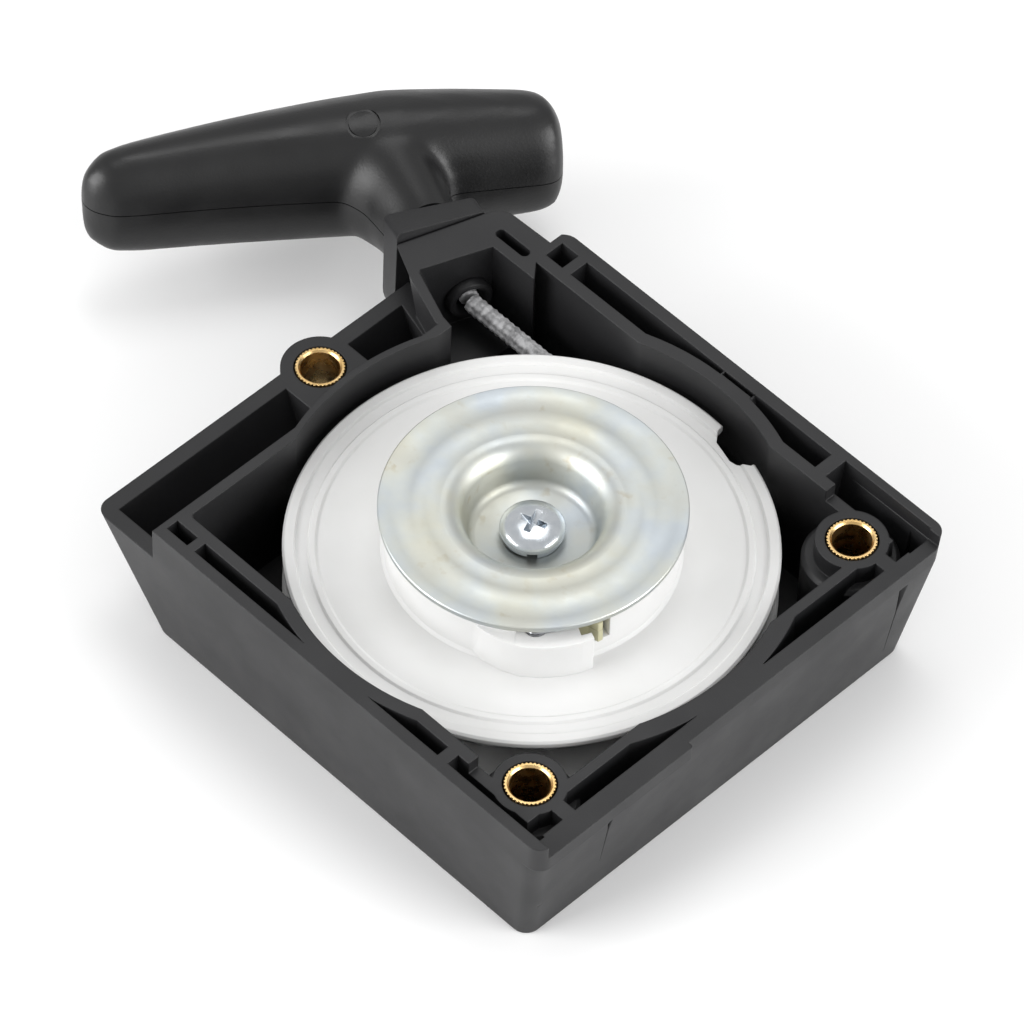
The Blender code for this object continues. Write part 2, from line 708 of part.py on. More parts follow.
def make_pawls(nylon, steel, wire):
    eye = [(PAWL_EYE_R, a) for a in range(0, 360, 18)]
    for letter, turn in (("a", 0), ("b", 180)):
        angle = PAWL_PIN_ANGLE + turn
        pin = polar(PAWL_PIN_CIRCLE_R, angle, 0)
        outline = [pin.xy + Vector((r * math.cos(math.radians(a)), r * math.sin(math.radians(a)))) for r, a in eye]
        body = prism("pawl", outline, *PAWL_Z)
        arm = [(17.8, 1), (16.4, 9), (16.3, 17), (17.2, 23), (19.2, 26.8), (20.9, 27.4)]
        arm += [(21.8, 26.2), (21.9, 24.2), (20.5, 21.8), (19.0, 16.0), (19.0, 8)]
        join(body, prism("arm", [polar(r, angle + a, 0).xy for r, a in arm], *PAWL_Z))
        tip = [(16.6, 18.4), (17.4, 22.8), (19.2, 26.6), (20.8, 27.2), (21.7, 26.1), (21.8, 24.2), (20.4, 21.8)]
        tip.append((19.2, 18.4))
        low_z = PAWL_Z[1] - 1
        join(body, prism("tip", [polar(r, angle + a, 0).xy for r, a in tip], low_z, PAWL_TIP_Z))
        cut(body, cylinder("cut", pin.xy, PAWL_PIN_R + 0.08, 20, 30, 28))
        pivot = (pin.x, pin.y, PAWL_Z[0])
        finish(body, nylon, f"pawl_{letter}", origin=pivot)
        profile = [(PAWL_PIN_R - 0.15, 15.4), (PAWL_PIN_R, 15.6), (PAWL_PIN_R, 27.9), (PAWL_PIN_R - 0.3, 28.2)]
        finish(turned("pin", profile, pin.xy, 28), steel, f"pawl_pin_{letter}", origin=pivot)
        route = []
        for i in range(37):
            around = math.radians(angle - 90 + 22.5 * i)
            out = Vector((math.cos(around), math.sin(around), 0)) * (PAWL_PIN_R + 0.3)
            route.append(Vector((pin.x, pin.y, 26.47 + 1.45 * i / 36)) + out)
        route.insert(0, route[0] - polar(2.2, angle, 0))
        route.append(polar(21.2, angle + 14.5, 27.94))
        tube(f"pawl_spring_{letter}", route, 0.22, wire)


# ---------------------------------------------------------------- disc and screw


def make_disc(material):
    top = DISC_TOP_Z
    under = DISC_TOP_Z - DISC_THICK
    low = DISC_FLOOR_Z
    below = DISC_FLOOR_Z - DISC_THICK
    profile = [
        (2.75, below), (8.9, below), (10.1, below + 0.9), (10.6, below + 2.4), (11.2, under - 1.4), (11.9, under - 0.35),
        (13.0, under), (DISC_R - 0.1, under), (DISC_R, under + 0.2), (DISC_R, top - 0.15), (DISC_R - 0.15, top),
        (13.2, top), (11.7, top - 0.3), (10.7, top - 1.1), (10.1, top - 2.4), (9.5, low + 1.3), (9.0, low + 0.35),
        (8.2, low), (2.75, low),
    ]
    return finish(ring("retaining_disc", profile, steps=56), material, sharp=40)


def make_washer(material):
    """A split lock washer whose ends stand slightly apart."""
    steps = 34
    points = []
    for i in range(steps + 1):
        angle = -35.0 + 340.0 * i / steps
        low = DISC_FLOOR_Z + 0.06 + 0.3 * i / steps
        for radius, z in ((2.65, low), (4.35, low), (4.35, low + 0.85), (2.65, low + 0.85)):
            points.append(polar(radius, angle, z))
    faces = [(0, 1, 2, 3), (4 * steps, 4 * steps + 1, 4 * steps + 2, 4 * steps + 3)]
    for i in range(steps):
        for k in range(4):
            n = (k + 1) % 4
            faces.append((4 * i + k, 4 * i + n, 4 * i + 4 + n, 4 * i + 4 + k))
    return finish(mesh_object("lock_washer", points, faces), material)


def make_screw(material):
    base = DISC_FLOOR_Z + 1.28
    profile = [(SCREW_R - 0.5, 9.6), (SCREW_R, 10.2), (SCREW_R, base), (SCREW_HEAD_R - 0.15, base)]
    profile += [(SCREW_HEAD_R, base + 0.2), (SCREW_HEAD_R, base + 0.75), (4.5, base + 1.25), (3.7, base + 1.7)]
    profile += [(2.4, base + 2.0), (1.0, base + 2.1)]
    body = turned("centre_screw", profile, steps=40)
    top = base + 2.1
    for turn in (20, 110):
        along = polar(1, turn, 0)
        across = polar(1, turn + 90, 0)
        rings = []
        for z, length, width in ((top - 1.5, 1.2, 0.7), (top + 0.5, 5.6, 1.15)):
            a = along * length / 2
            b = across * width / 2
            rise = Vector((0, 0, z))
            rings.append([rise - a - b, rise + a - b, rise + a + b, rise - a + b])
        cut(body, loft("cut", rings))
    return finish(body, material, sharp=30)


def make_small_parts(brass, wire):
    insert = [(2.5, 9.0), (3.2, 9.0), (3.2, POST_TOP_Z - 0.1), (2.5, POST_TOP_Z - 0.1)]
    finish(ring("post_insert", insert, steps=32), brass)
    route = []
    for i in range(61):
        route.append(polar(13.9, 24 * i, 21.95 + 6.2 * i / 60))
    tube("friction_spring", route, 0.55, wire)


# ---------------------------------------------------------------- rope and handle


def rope_points():
    """Where the rope leaves the pulley, passes the guide and ends at the knot in the handle."""
    guide = Vector(GUIDE_CENTRE) - Vector(GUIDE_AXIS) * 1.0
    guide.z = 16.7
    start = Vector((-18.5, 29.1, 14.75))
    end = guide + PULL_LINE * 27.0
    return start, guide, end


def handle_section(across, out, depth, height, steps=20):
    """One upright section of the bar."""
    loop = []
    for i in range(steps):
        angle = 2 * math.pi * i / steps
        x = math.copysign(abs(math.cos(angle)) ** 0.85, math.cos(angle))
        y = math.copysign(abs(math.sin(angle)) ** 0.85, math.sin(angle))
        place = NOSE_CENTRE + UPWARD * 6.25 + ACROSS * across
        loop.append(place + OUTWARD * (out + x * depth) + UPWARD * y * height)
    return loop


def handle_shape():
    """The whole grip as one closed smooth body."""
    rings = []
    for i in range(17):
        share = -math.cos(math.pi * i / 16)
        across = share * (ARM_LONG if share < 0 else ARM_SHORT)
        out = 25.0 - 0.15 * across - 0.0019 * across**2
        side = abs(share)
        end_depth, end_height = (4.4, 8.1) if share < 0 else (6.4, 9.3)
        depth = mixed(8.75, end_depth, side**1.2)
        height = mixed(11.2, end_height, side**1.2)
        cap = math.sqrt(max(1 - max((side - 0.86) / 0.14, 0.0) ** 2.6, 0.05))
        rings.append(handle_section(across, out, depth * cap, height * (0.35 + 0.65 * cap)))
    bar = loft("bar", rings)
    stem = []
    for share, across, half_w, half_h in (
        (0.08, 0.0, 5.9, 7.0), (0.3, -0.2, 5.6, 7.6), (0.6, -1.0, 6.6, 8.8), (0.8, -1.5, 9.5, 9.6), (1.0, -1.5, 12.0, 9.8),
    ):
        centre = NOSE_CENTRE + (OUTWARD * 25.0 + UPWARD * 6.25) * share + ACROSS * across
        loop = []
        for x, y in circle(1.0, 20):
            loop.append(centre + ACROSS * x * half_w + UPWARD * y * half_h)
        stem.append(loop)
    join(bar, loft("stem", stem))
    smooth = bar.modifiers.new("blend", "REMESH")
    smooth.mode = "VOXEL"
    smooth.voxel_size = 1.25 * MM
    soften = bar.modifiers.new("soften", "SMOOTH")
    soften.factor = 0.5
    soften.iterations = 8
    thin = bar.modifiers.new("thin", "DECIMATE")
    thin.ratio = 0.26
    graph = bpy.context.evaluated_depsgraph_get()
    made = bpy.data.meshes.new_from_object(bar.evaluated_get(graph))
    bar.modifiers.clear()
    bar.data = made
    return bar


def make_handle(material, nose_material):
    """Two half shells with the rope's way and the knot's room between them, and the square nose."""
    _, guide, knot_place = rope_points()
    grip = handle_shape()
    axis = (OUTWARD * 25.0 + UPWARD * 6.25).normalized()
    normal = axis.cross(ACROSS).normalized()
    if normal.z < 0:
        normal = -normal
    cut(grip, rod("cut", guide, knot_place, ROPE_HOLE_R, 16))
    cut(grip, rod("cut", knot_place - PULL_LINE * 2.5, knot_place + PULL_LINE * 6.8, 4.6, 20))
    nose_plane = NOSE_CENTRE + OUTWARD * NOSE_LENGTH
    behind = nose_plane - OUTWARD * (20 - 0.15)
    cut(grip, block("cut", behind, (ACROSS, UPWARD, OUTWARD), (60, 60, 40)))
    middle = NOSE_CENTRE + axis * 15
    halves = []
    for name, side in (("handle_upper", 1), ("handle_lower", -1)):
        half = grip.copy()
        half.data = grip.data.copy()
        bpy.context.scene.collection.objects.link(half)
        room = block("cut", middle - normal * side * (30 - 0.075), (axis, ACROSS, normal), (160, 160, 60))
        cut(half, room)
        halves.append(finish(half, material, name, origin=NOSE_CENTRE, sharp=40))
    bpy.data.objects.remove(grip)
    make_nose(nose_material, guide, knot_place)
    return halves


def make_nose(material, guide, knot_place):
    """The square nose, its tower face trimmed to lie along the tower's leaning front."""
    corner = 1.1
    outline = rounded(
        [
            (-NOSE_WIDTH / 2 - 1.6, -NOSE_HEIGHT / 2, 4.0),
            (NOSE_WIDTH / 2, -NOSE_HEIGHT / 2, 3.2),
            (NOSE_WIDTH / 2, NOSE_HEIGHT / 2 + 1.2, corner),
            (-NOSE_WIDTH / 2 - 0.8, NOSE_HEIGHT / 2 + 0.8, corner),
        ]
    )
    rings = []
    for along, size in ((-4.0, 1.0), (NOSE_LENGTH - 0.6, 1.0), (NOSE_LENGTH - 0.15, 0.95)):
        centre = NOSE_CENTRE + OUTWARD * along
        rings.append([centre + ACROSS * x * size + UPWARD * y * size for x, y in outline])
    body = loft("handle_collar", rings)
    front = Vector((TOWER_FRONT[0][0], TOWER_FRONT[0][1], RIM_Z))
    lean = math.atan(TOWER_SLOPE)
    face = Vector((-0.950 * math.cos(lean), 0.312 * math.cos(lean), -math.sin(lean)))
    run = Vector((0.312, 0.950, 0.0))
    up = run.cross(face).normalized()
    keep_out = front + face * (0.45 - 15)
    cut(body, block("cut", keep_out, (run, up, face), (120, 120, 30)))
    cut(body, rod("cut", guide - PULL_LINE * 4, knot_place, ROPE_HOLE_R + 0.1, 16))
    return finish(body, material, "handle_collar", origin=NOSE_CENTRE, sharp=35)


def make_rope(cord, steel):
    start, guide, end = rope_points()
    tube("rope_coil", coil_route(), ROPE_R, cord, origin=(0, 0, HUB_FLOOR_Z))
    stop = guide + (start - guide).normalized() * 0.5
    run = [start.lerp(stop, i / 5) for i in range(6)]
    tube("rope_run", run, ROPE_R, cord)
    lead = [(guide + PULL_LINE * 0.5).lerp(end - PULL_LINE * 1.1, i / 4) for i in range(5)]
    tube("rope_lead", lead, ROPE_R, cord, origin=NOSE_CENTRE)
    knot("rope_knot_pulley", polar(20.6, 200, 14.0), 2.9, cord, origin=(0, 0, HUB_FLOOR_Z))
    knot("rope_knot_handle", end + PULL_LINE * 2.6, 3.3, cord, origin=NOSE_CENTRE)
    loop = [(1.8, -1.6), (4.1, -1.6), (4.1, -0.7), (1.8, -0.7)]
    made = ring_on_axis("rope_washer", loop, end, PULL_LINE, 28)
    finish(made, steel, origin=NOSE_CENTRE)


def main():
    for old in list(bpy.data.objects):
        bpy.data.objects.remove(old)
    black = surface("black_plastic", (0.025, 0.025, 0.027), 0.5)
    grip = surface("black_grip", (0.03, 0.03, 0.031), 0.45)
    brass = surface("brass", (0.72, 0.5, 0.22), 0.3, 1.0)
    nylon = surface("white_nylon", (0.86, 0.86, 0.85), 0.45)
    pawl = surface("cream_nylon", (0.78, 0.76, 0.58), 0.5)
    zinc = surface("zinc_plate", (0.72, 0.73, 0.7), 0.35, 1.0)
    bright = surface("bright_zinc", (0.8, 0.82, 0.84), 0.2, 1.0)
    dark = surface("dark_steel", (0.22, 0.17, 0.15), 0.4, 1.0)
    spring = surface("spring_steel", (0.35, 0.36, 0.38), 0.35, 1.0)
    cord = surface("braided_cord", (0.8, 0.8, 0.8), 0.7)
    make_housing(black)
    make_inserts(brass)
    make_guide(black)
    make_cup(zinc)
    make_spring(spring)
    make_pulley(nylon)
    make_pawls(pawl, dark, spring)
    make_disc(zinc)
    make_washer(bright)
    make_screw(bright)
    make_small_parts(brass, spring)
    make_handle(grip, black)
    make_rope(cord, bright)


main()
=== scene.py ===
import json
import math

import bmesh
import bpy
from mathutils import Matrix, Vector


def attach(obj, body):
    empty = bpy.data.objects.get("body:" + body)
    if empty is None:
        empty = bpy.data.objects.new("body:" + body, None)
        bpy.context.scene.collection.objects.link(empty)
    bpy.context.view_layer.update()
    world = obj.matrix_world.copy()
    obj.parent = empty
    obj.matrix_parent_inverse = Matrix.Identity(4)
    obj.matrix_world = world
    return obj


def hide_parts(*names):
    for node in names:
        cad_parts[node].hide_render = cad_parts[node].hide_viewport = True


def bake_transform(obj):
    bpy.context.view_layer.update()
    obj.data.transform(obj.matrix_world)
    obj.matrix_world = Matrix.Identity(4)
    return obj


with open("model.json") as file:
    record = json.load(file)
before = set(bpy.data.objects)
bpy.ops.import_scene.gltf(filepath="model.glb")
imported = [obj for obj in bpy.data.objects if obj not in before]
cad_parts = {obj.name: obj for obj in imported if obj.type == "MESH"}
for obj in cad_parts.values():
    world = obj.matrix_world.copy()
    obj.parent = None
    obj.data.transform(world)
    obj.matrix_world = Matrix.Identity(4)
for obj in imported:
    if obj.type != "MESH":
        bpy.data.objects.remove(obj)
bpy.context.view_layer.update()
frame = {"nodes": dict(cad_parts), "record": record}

MM = 0.001
GAP = 0.3

# Steps of a round shape for each step in the CAD, and teeth round an insert
FINE = 2.5
TEETH = 38

# Housing levels above the outer face of the floor
RIM_Z = 26.1
STEP_Z = 23.8
LEDGE_Z = 20.0
FLOOR_Z = 2.0
POCKET_Z = 8.0
RECESS_Z = 11.5

# Outer walls: distance from the axis at the base and at the height where the draft ends
BASE_X = 38.8
BASE_Y = 38.5
WALL_X_MAX = 42.1
WALL_X_MIN = -48.8
WALL_Y_MAX = 42.4
WALL_Y_MIN = -40.8
DRAFT_TOP_X = 21.1
CORNER_R = 2.4
LEDGE_END_Y = 22.2

# Chamber
CHAMBER_R = 37.4
CHAMBER_X_MIN = -34.6
CHAMBER_X_MAX = 35.0
CHAMBER_Y = 34.9

# Screw bosses: centre, radius and top height
BOSS_1 = (-45.8, 1.3)
BOSS_2 = (32.4, 32.6)
BOSS_3 = (32.0, -31.8)
BOSS_1_R = 5.9
BOSS_R = 5.4
BOSS_FOOT_R = 7.2
BOSS_STEP = 3.5
INSERT_R = 3.84
INSERT_BORE_R = 2.95
INSERT_LENGTH = 9.0
INSERT_SEAT_R = 3.95
BOSS_BORE_R = 3.3

# Tower that the rope leaves through
TOWER_SLOPE = 0.30
TOWER_FRONT = ((-51.5, 22.1), (-46.0, 38.8))
GUIDE_CENTRE = (-42.92, 28.7, 16.8)
GUIDE_AXIS = (-0.932, 0.361, 0.0)
GUIDE_TUBE_R = 3.05
GUIDE_BORE_R = 2.0

# Rope
ROPE_R = 1.5

# Pulley
PULLEY_R = 36.0
PULLEY_BORE_R = 5.5
FLANGE_TOP_Z = 21.15
FLANGE = 1.5
GROOVE_R = 25.1
LOWER_FLANGE_Z = 11.35
HUB_R = 21.4
HUB_INNER_R = 19.2
HUB_TOP_Z = 28.6
HUB_FLOOR_Z = 20.9
BOSS_TOP_Z = 21.9

# Centre post, retaining disc and screw
POST_R = 5.4
POST_TOP_Z = 22.0
DISC_R = 22.4
DISC_TOP_Z = 30.0
DISC_FLOOR_Z = 23.2
DISC_THICK = 1.0
DISC_STEP = 0.04
SCREW_HEAD_R = 4.8
SCREW_R = 2.4

# Pawl pockets in the pulley
PAWL_PIN_ANGLE = -43.4
PAWL_PIN_CIRCLE_R = 20.2
PAWL_PIN_R = 1.1
PAWL_Z = (23.9, 26.2)
PAWL_EYE_R = 2.6
SHOULDER_TOP_Z = 27.6

# Handle: directions across, outwards and up, and the centre of the nose's tower face
ACROSS = Vector((0.4409, 0.8941, -0.0783))
OUTWARD = Vector((-0.8528, 0.3901, -0.3473))
UPWARD = Vector((-0.2800, 0.2199, 0.9345))
NOSE_CENTRE = Vector((-47.45, 28.36, 18.42))
NOSE_WIDTH = 13.6
NOSE_HEIGHT = 15.5
NOSE_LENGTH = 5.6
ARM_LONG = 47.8
ARM_SHORT = 25.1
PULL_LINE = Vector((-0.9006, 0.4347, 0.0)).normalized()
ROPE_HOLE_R = 1.95
GROOVE_CENTRE = Vector((-72.3, 35.13, 26.22))
GROOVE_AXIS = Vector((0.196, -0.151, 0.969))

# Studio, in metres and watts: camera fitted to the photo, floor, and lights as (name, place, size, power)
LENS = 265.33
CAMERA_PLACE = (0.471597, -0.489259, 0.869094)
CAMERA_RIGHT = Vector((0.69784707, 0.7159222, 0.02156095))
CAMERA_UP = Vector((-0.56650992, 0.53328711, 0.62822875))
FLOOR_REACH = 4.0
FLOOR_DROP = -0.0002
SKY = 0.68
LIGHTS = (
    ("soft_left", (-0.5, -0.95, 0.42), (0.8, 0.6), 12.5),
    ("soft_right", (0.95, 0.35, 0.4), (0.7, 0.6), 9.0),
    ("soft_top", (-0.25, 0.3, 1.1), (0.5, 0.5), 2.4),
)
LIGHT_AIM = (0.0, 0.0, 0.015)


# ---------------------------------------------------------------- helpers


def mesh_object(name, points, faces):
    """A closed triangle mesh facing out, made from points in millimetres."""
    mesh = bpy.data.meshes.new(name)
    mesh.from_pydata([Vector(p) * MM for p in points], [], faces)
    shape = bmesh.new()
    shape.from_mesh(mesh)
    bmesh.ops.recalc_face_normals(shape, faces=shape.faces)
    bmesh.ops.triangulate(shape, faces=shape.faces)
    shape.to_mesh(mesh)
    shape.free()
    made = bpy.data.objects.new(name, mesh)
    bpy.context.scene.collection.objects.link(made)
    return made


def loft(name, rings):
    """A solid through rings that all have the same number of points."""
    count = len(rings[0])
    points = [p for ring in rings for p in ring]
    faces = [list(range(count)), list(range(len(points) - count, len(points)))]
    for level in range(len(rings) - 1):
        low = level * count
        for i in range(count):
            j = (i + 1) % count
            faces.append((low + i, low + j, low + count + j, low + count + i))
    return mesh_object(name, points, faces)


def prism(name, outline, low, high):
    return loft(name, [[(x, y, z) for x, y in outline] for z in (low, high)])


def circle(radius, steps, centre=(0.0, 0.0), turn=0.0):
    steps = int(steps * FINE)
    angles = [turn + 2 * math.pi * i / steps for i in range(steps)]
    return [(centre[0] + radius * math.cos(a), centre[1] + radius * math.sin(a)) for a in angles]


def arc(radius, start, end, steps, centre=(0.0, 0.0)):
    """Points of an arc between two angles in degrees."""
    made = []
    steps = int(steps * FINE)
    for i in range(steps + 1):
        angle = math.radians(start + (end - start) * i / steps)
        made.append((centre[0] + radius * math.cos(angle), centre[1] + radius * math.sin(angle)))
    return made


def cylinder(name, centre, radius, low, high, steps=32):
    return prism(name, circle(radius, steps, centre), low, high)


def turned(name, profile, centre=(0.0, 0.0), steps=48):
    """A solid of revolution from (radius, height) points, bottom to top, closed by flat ends."""
    rings = []
    for radius, height in profile:
        rings.append([(x, y, height) for x, y in circle(radius, steps, centre)])
    return loft(name, rings)


def basis(axis):
    """Two directions square to an axis, the second as near to +Z as it can be."""
    side = Vector((0, 0, 1)).cross(axis)
    if side.length < 1e-6:
        side = Vector((1, 0, 0))
    side.normalize()
    return side, Vector(axis).normalized().cross(side)


def ring_on_axis(name, profile, origin, axis, steps=48):
    """A ring of revolution from a closed loop of (radius, distance along the axis) points."""
    axis = Vector(axis).normalized()
    side, up = basis(axis)
    steps = int(steps * FINE)
    count = len(profile)
    points = []
    for i in range(steps):
        angle = 2 * math.pi * i / steps
        out = side * math.cos(angle) + up * math.sin(angle)
        points += [Vector(origin) + out * radius + axis * along for radius, along in profile]
    faces = []
    for i in range(steps):
        near = i * count
        far = (i + 1) % steps * count
        for k in range(count):
            n = (k + 1) % count
            faces.append((near + k, near + n, far + n, far + k))
    return mesh_object(name, points, faces)


def ring(name, profile, centre=(0.0, 0.0), steps=48):
    return ring_on_axis(name, profile, (centre[0], centre[1], 0.0), (0, 0, 1), steps)


def rod(name, start, end, radius, steps=24, end_radius=None):
    """A straight round bar between two points."""
    start = Vector(start)
    end = Vector(end)
    side, up = basis((end - start).normalized())
    rings = []
    for point, size in ((start, radius), (end, end_radius or radius)):
        rings.append([point + side * x + up * y for x, y in circle(size, steps)])
    return loft(name, rings)


def block(name, centre, axes, sizes):
    """A box with its own axes."""
    centre = Vector(centre)
    a, b, c = (Vector(axis) * size / 2 for axis, size in zip(axes, sizes))
    rings = []
    for end in (-1, 1):
        rings.append([centre - a - b + c * end, centre + a - b + c * end,
                      centre + a + b + c * end, centre - a + b + c * end])
    return loft(name, rings)


def rounded(corners, steps=8):
    """An outline whose corners (x, y, radius) are rounded; radius 0 keeps one sharp point."""
    outline = []
    count = len(corners)
    for i, (x, y, radius) in enumerate(corners):
        if radius == 0:
            outline.append((x, y))
            continue
        here = Vector((x, y))
        back = (Vector(corners[i - 1][:2]) - here).normalized()
        ahead = (Vector(corners[(i + 1) % count][:2]) - here).normalized()
        half = back.angle(ahead) / 2
        centre = here + (back + ahead).normalized() * radius / math.sin(half)
        first = here + back * radius / math.tan(half) - centre
        last = here + ahead * radius / math.tan(half) - centre
        turn = first.angle_signed(last)
        for k in range(steps + 1):
            angle = -turn * k / steps
            spun = Vector((first.x * math.cos(angle) - first.y * math.sin(angle),
                           first.x * math.sin(angle) + first.y * math.cos(angle)))
            outline.append(tuple(centre + spun))
    return outline


def weld(mesh):
    """Merges the stray points that a Boolean can leave."""
    shape = bmesh.new()
    shape.from_mesh(mesh)
    bmesh.ops.remove_doubles(shape, verts=shape.verts, dist=0.002 * MM)
    bmesh.ops.dissolve_degenerate(shape, edges=shape.edges, dist=0.001 * MM)
    shape.to_mesh(mesh)
    shape.free()


def combine(base, tool, operation):
    """Bakes an exact Boolean into the base and removes the tool."""
    step = base.modifiers.new("combine", "BOOLEAN")
    step.operation = operation
    step.object = tool
    step.solver = "EXACT"
    graph = bpy.context.evaluated_depsgraph_get()
    made = bpy.data.meshes.new_from_object(base.evaluated_get(graph))
    base.modifiers.clear()
    base.data = made
    weld(made)
    bpy.data.objects.remove(tool)


def cut(base, *tools):
    for tool in tools:
        combine(base, tool, "DIFFERENCE")


def join(base, *tools):
    for tool in tools:
        combine(base, tool, "UNION")


def finish(made, material, name=None, origin=None, sharp=35):
    """Welds stray points, gives the object its material and shading, and moves its origin."""
    mesh = made.data
    shape = bmesh.new()
    shape.from_mesh(mesh)
    bmesh.ops.remove_doubles(shape, verts=shape.verts, dist=0.002 * MM)
    bmesh.ops.dissolve_degenerate(shape, edges=shape.edges, dist=0.001 * MM)
    flat = math.radians(0.3)
    bmesh.ops.dissolve_limit(shape, angle_limit=flat, verts=shape.verts, edges=shape.edges)
    bmesh.ops.triangulate(shape, faces=shape.faces)
    if origin is not None:
        move = Vector(origin) * MM
        bmesh.ops.translate(shape, verts=shape.verts, vec=-move)
        made.location = move
    shape.to_mesh(mesh)
    shape.free()
    mesh.materials.clear()
    mesh.materials.append(material)
    mesh.shade_smooth()
    mesh.set_sharp_from_angle(angle=math.radians(sharp))
    if name:
        made.name = name
    return made


def braided(name, route, radius, steps, around=64, strands=8, lay=9.0):
    """A braided cord along a route in millimetres, with strands that cross in its surface."""
    lengths = [0.0]
    for a, b in zip(route, route[1:]):
        lengths.append(lengths[-1] + (b - a).length)
    rings = []
    side = None
    for i in range(steps + 1):
        share = lengths[-1] * i / steps
        k = max(j for j in range(len(lengths) - 1) if lengths[j] <= share + 1e-9)
        part = (share - lengths[k]) / (lengths[k + 1] - lengths[k])
        place = route[k].lerp(route[k + 1], part)
        ahead = (route[k + 1] - route[k]).normalized()
        side = side or basis(ahead)[0]
        side = (side - ahead * side.dot(ahead)).normalized()
        up = ahead.cross(side)
        loop = []
        for j in range(around):
            angle = 2 * math.pi * j / around
            turn = math.pi * strands * share / lay
            left = strands * angle / 2 + turn
            right = strands * angle / 2 - turn
            over = math.cos(left) * math.cos(right)
            ridge_a = abs(math.cos(left / 2)) if over > 0 else abs(math.cos(right / 2))
            rise = 0.13 * over + 0.06 * ridge_a
            out = side * math.cos(angle) + up * math.sin(angle)
            loop.append(place + out * (radius - 0.12 + rise))
        rings.append(loop)
    made = loft(name, rings)
    for face in made.data.polygons:
        face.use_smooth = True
    return made


def polar(radius, degrees, z):
    angle = math.radians(degrees)
    return Vector((radius * math.cos(angle), radius * math.sin(angle), z))


def mixed(low, high, share):
    return low + (high - low) * min(max(share, 0.0), 1.0)


# ---------------------------------------------------------------- housing


def housing_ring(z, inset=0.0):
    """Outside of the housing at a height, without the tower."""
    x_max = mixed(BASE_X, WALL_X_MAX, z / DRAFT_TOP_X) - inset
    x_min = mixed(-BASE_X, WALL_X_MIN, z / LEDGE_Z) + inset
    y_max = mixed(BASE_Y, WALL_Y_MAX, z / RIM_Z) - inset
    y_min = mixed(-BASE_Y, WALL_Y_MIN, z / LEDGE_Z) + inset
    corners = [
        (x_min, y_min, CORNER_R),
        (x_max, y_min, CORNER_R),
        (x_max, y_max, CORNER_R),
        (-36.9, y_max, 2.8),
        (-36.9, LEDGE_END_Y, 0),
        (x_min, LEDGE_END_Y, 0),
    ]
    return [(x, y, z) for x, y in rounded(corners)]


def tower_ring(z):
    """Outside of the tower at a height; its front and left side lean in towards the base."""
    lean = TOWER_SLOPE * (RIM_Z - z)
    front = Vector((0.950, -0.312)) * lean
    left = Vector((0.434, 0.901)) * lean
    tip = Vector(TOWER_FRONT[0])
    root = Vector((-45.9, 19.4))
    back = Vector(TOWER_FRONT[1])
    tip += front + left * 0.6
    root += left
    back += Vector((front.x * 1.05, 0.0))
    corners = [
        (tip.x, tip.y, 0.6),
        (root.x, root.y, 0),
        (-36.8, 16.0, 0),
        (-34.2, 16.0, 0),
        (-32.0, 32.0, 0),
        (-34.6, 39.1, 0),
        (back.x, back.y, 3.2),
    ]
    return [(x, y, z) for x, y in rounded(corners)]


def side_point(side, along, out):
    """A point given by its place along a wall and its distance out from the axis."""
    places = {"-y": (along, -out), "+y": (along, out), "+x": (out, along), "-x": (-out, along)}
    return places[side]


def wall_pocket(name, side, start, end, near, far_top, far_low, top=RIM_Z, arc_r=None):
    """A moulding pocket between two walls. With arc_r its end towards the middle follows the chamber."""
    rings = []
    for z, far in ((POCKET_Z, far_low), (top + 1.0, far_top)):
        outline = [(start, near), (start, far)]
        if arc_r is None:
            outline += [(end, far), (end, near)]
        else:
            sign = 1 if start > 0 else -1
            reach = math.sqrt(max(arc_r**2 - far**2, end**2))
            root = math.sqrt(arc_r**2 - near**2)
            outline.append((sign * reach, far))
            for k in range(7):
                along = reach + (root - reach) * k / 6
                outline.append((sign * along, min(far - 0.05, math.sqrt(arc_r**2 - along**2))))
        rings.append([(*side_point(side, u, v), z) for u, v in outline])
    return loft(name, rings)


def step_cutter():
    """The space above the lower level of the +X side."""
    return prism("cut", [(24.8, -38.95), (60, -38.95), (60, 40.7), (24.8, 40.7)], STEP_Z, 40)


def ledge_cutter():
    """The space above the -X ledge, outside the chamber's curved wall."""
    steps = arc(38.4, 199.3, 160.7, 16)
    outline = [(-60, -60), (-36.25, -60)] + steps + [(-36.25, 60), (-60, 60)]
    return prism("cut", outline, LEDGE_Z, 40)


def chamber_cutters():
    corner = 0.8
    square = rounded(
        [
            (CHAMBER_X_MIN, -CHAMBER_Y, corner),
            (CHAMBER_X_MAX, -CHAMBER_Y, corner),
            (CHAMBER_X_MAX, CHAMBER_Y, corner),
            (-35.0, CHAMBER_Y, 0),
            (-32.8, 32.35, 0),
            (CHAMBER_X_MIN, 32.35, 0),
        ]
    )
    recess = []
    for z, corner_x, corner_y in ((RECESS_Z, -44.2, 25.4), (RIM_Z + 1.0, -45.8, 21.1)):
        outline = [(corner_x, corner_y), (-41.5, 32.35), (-33.0, 32.35), (-33.0, 16.9), (-36.7, 17.5)]
        recess.append([(x, y, z) for x, y in outline])
    return [
        prism("cut", square, FLOOR_Z, 40),
        cylinder("cut", (0, 0), CHAMBER_R, FLOOR_Z, 40, 80),
        loft("cut", recess),
    ]


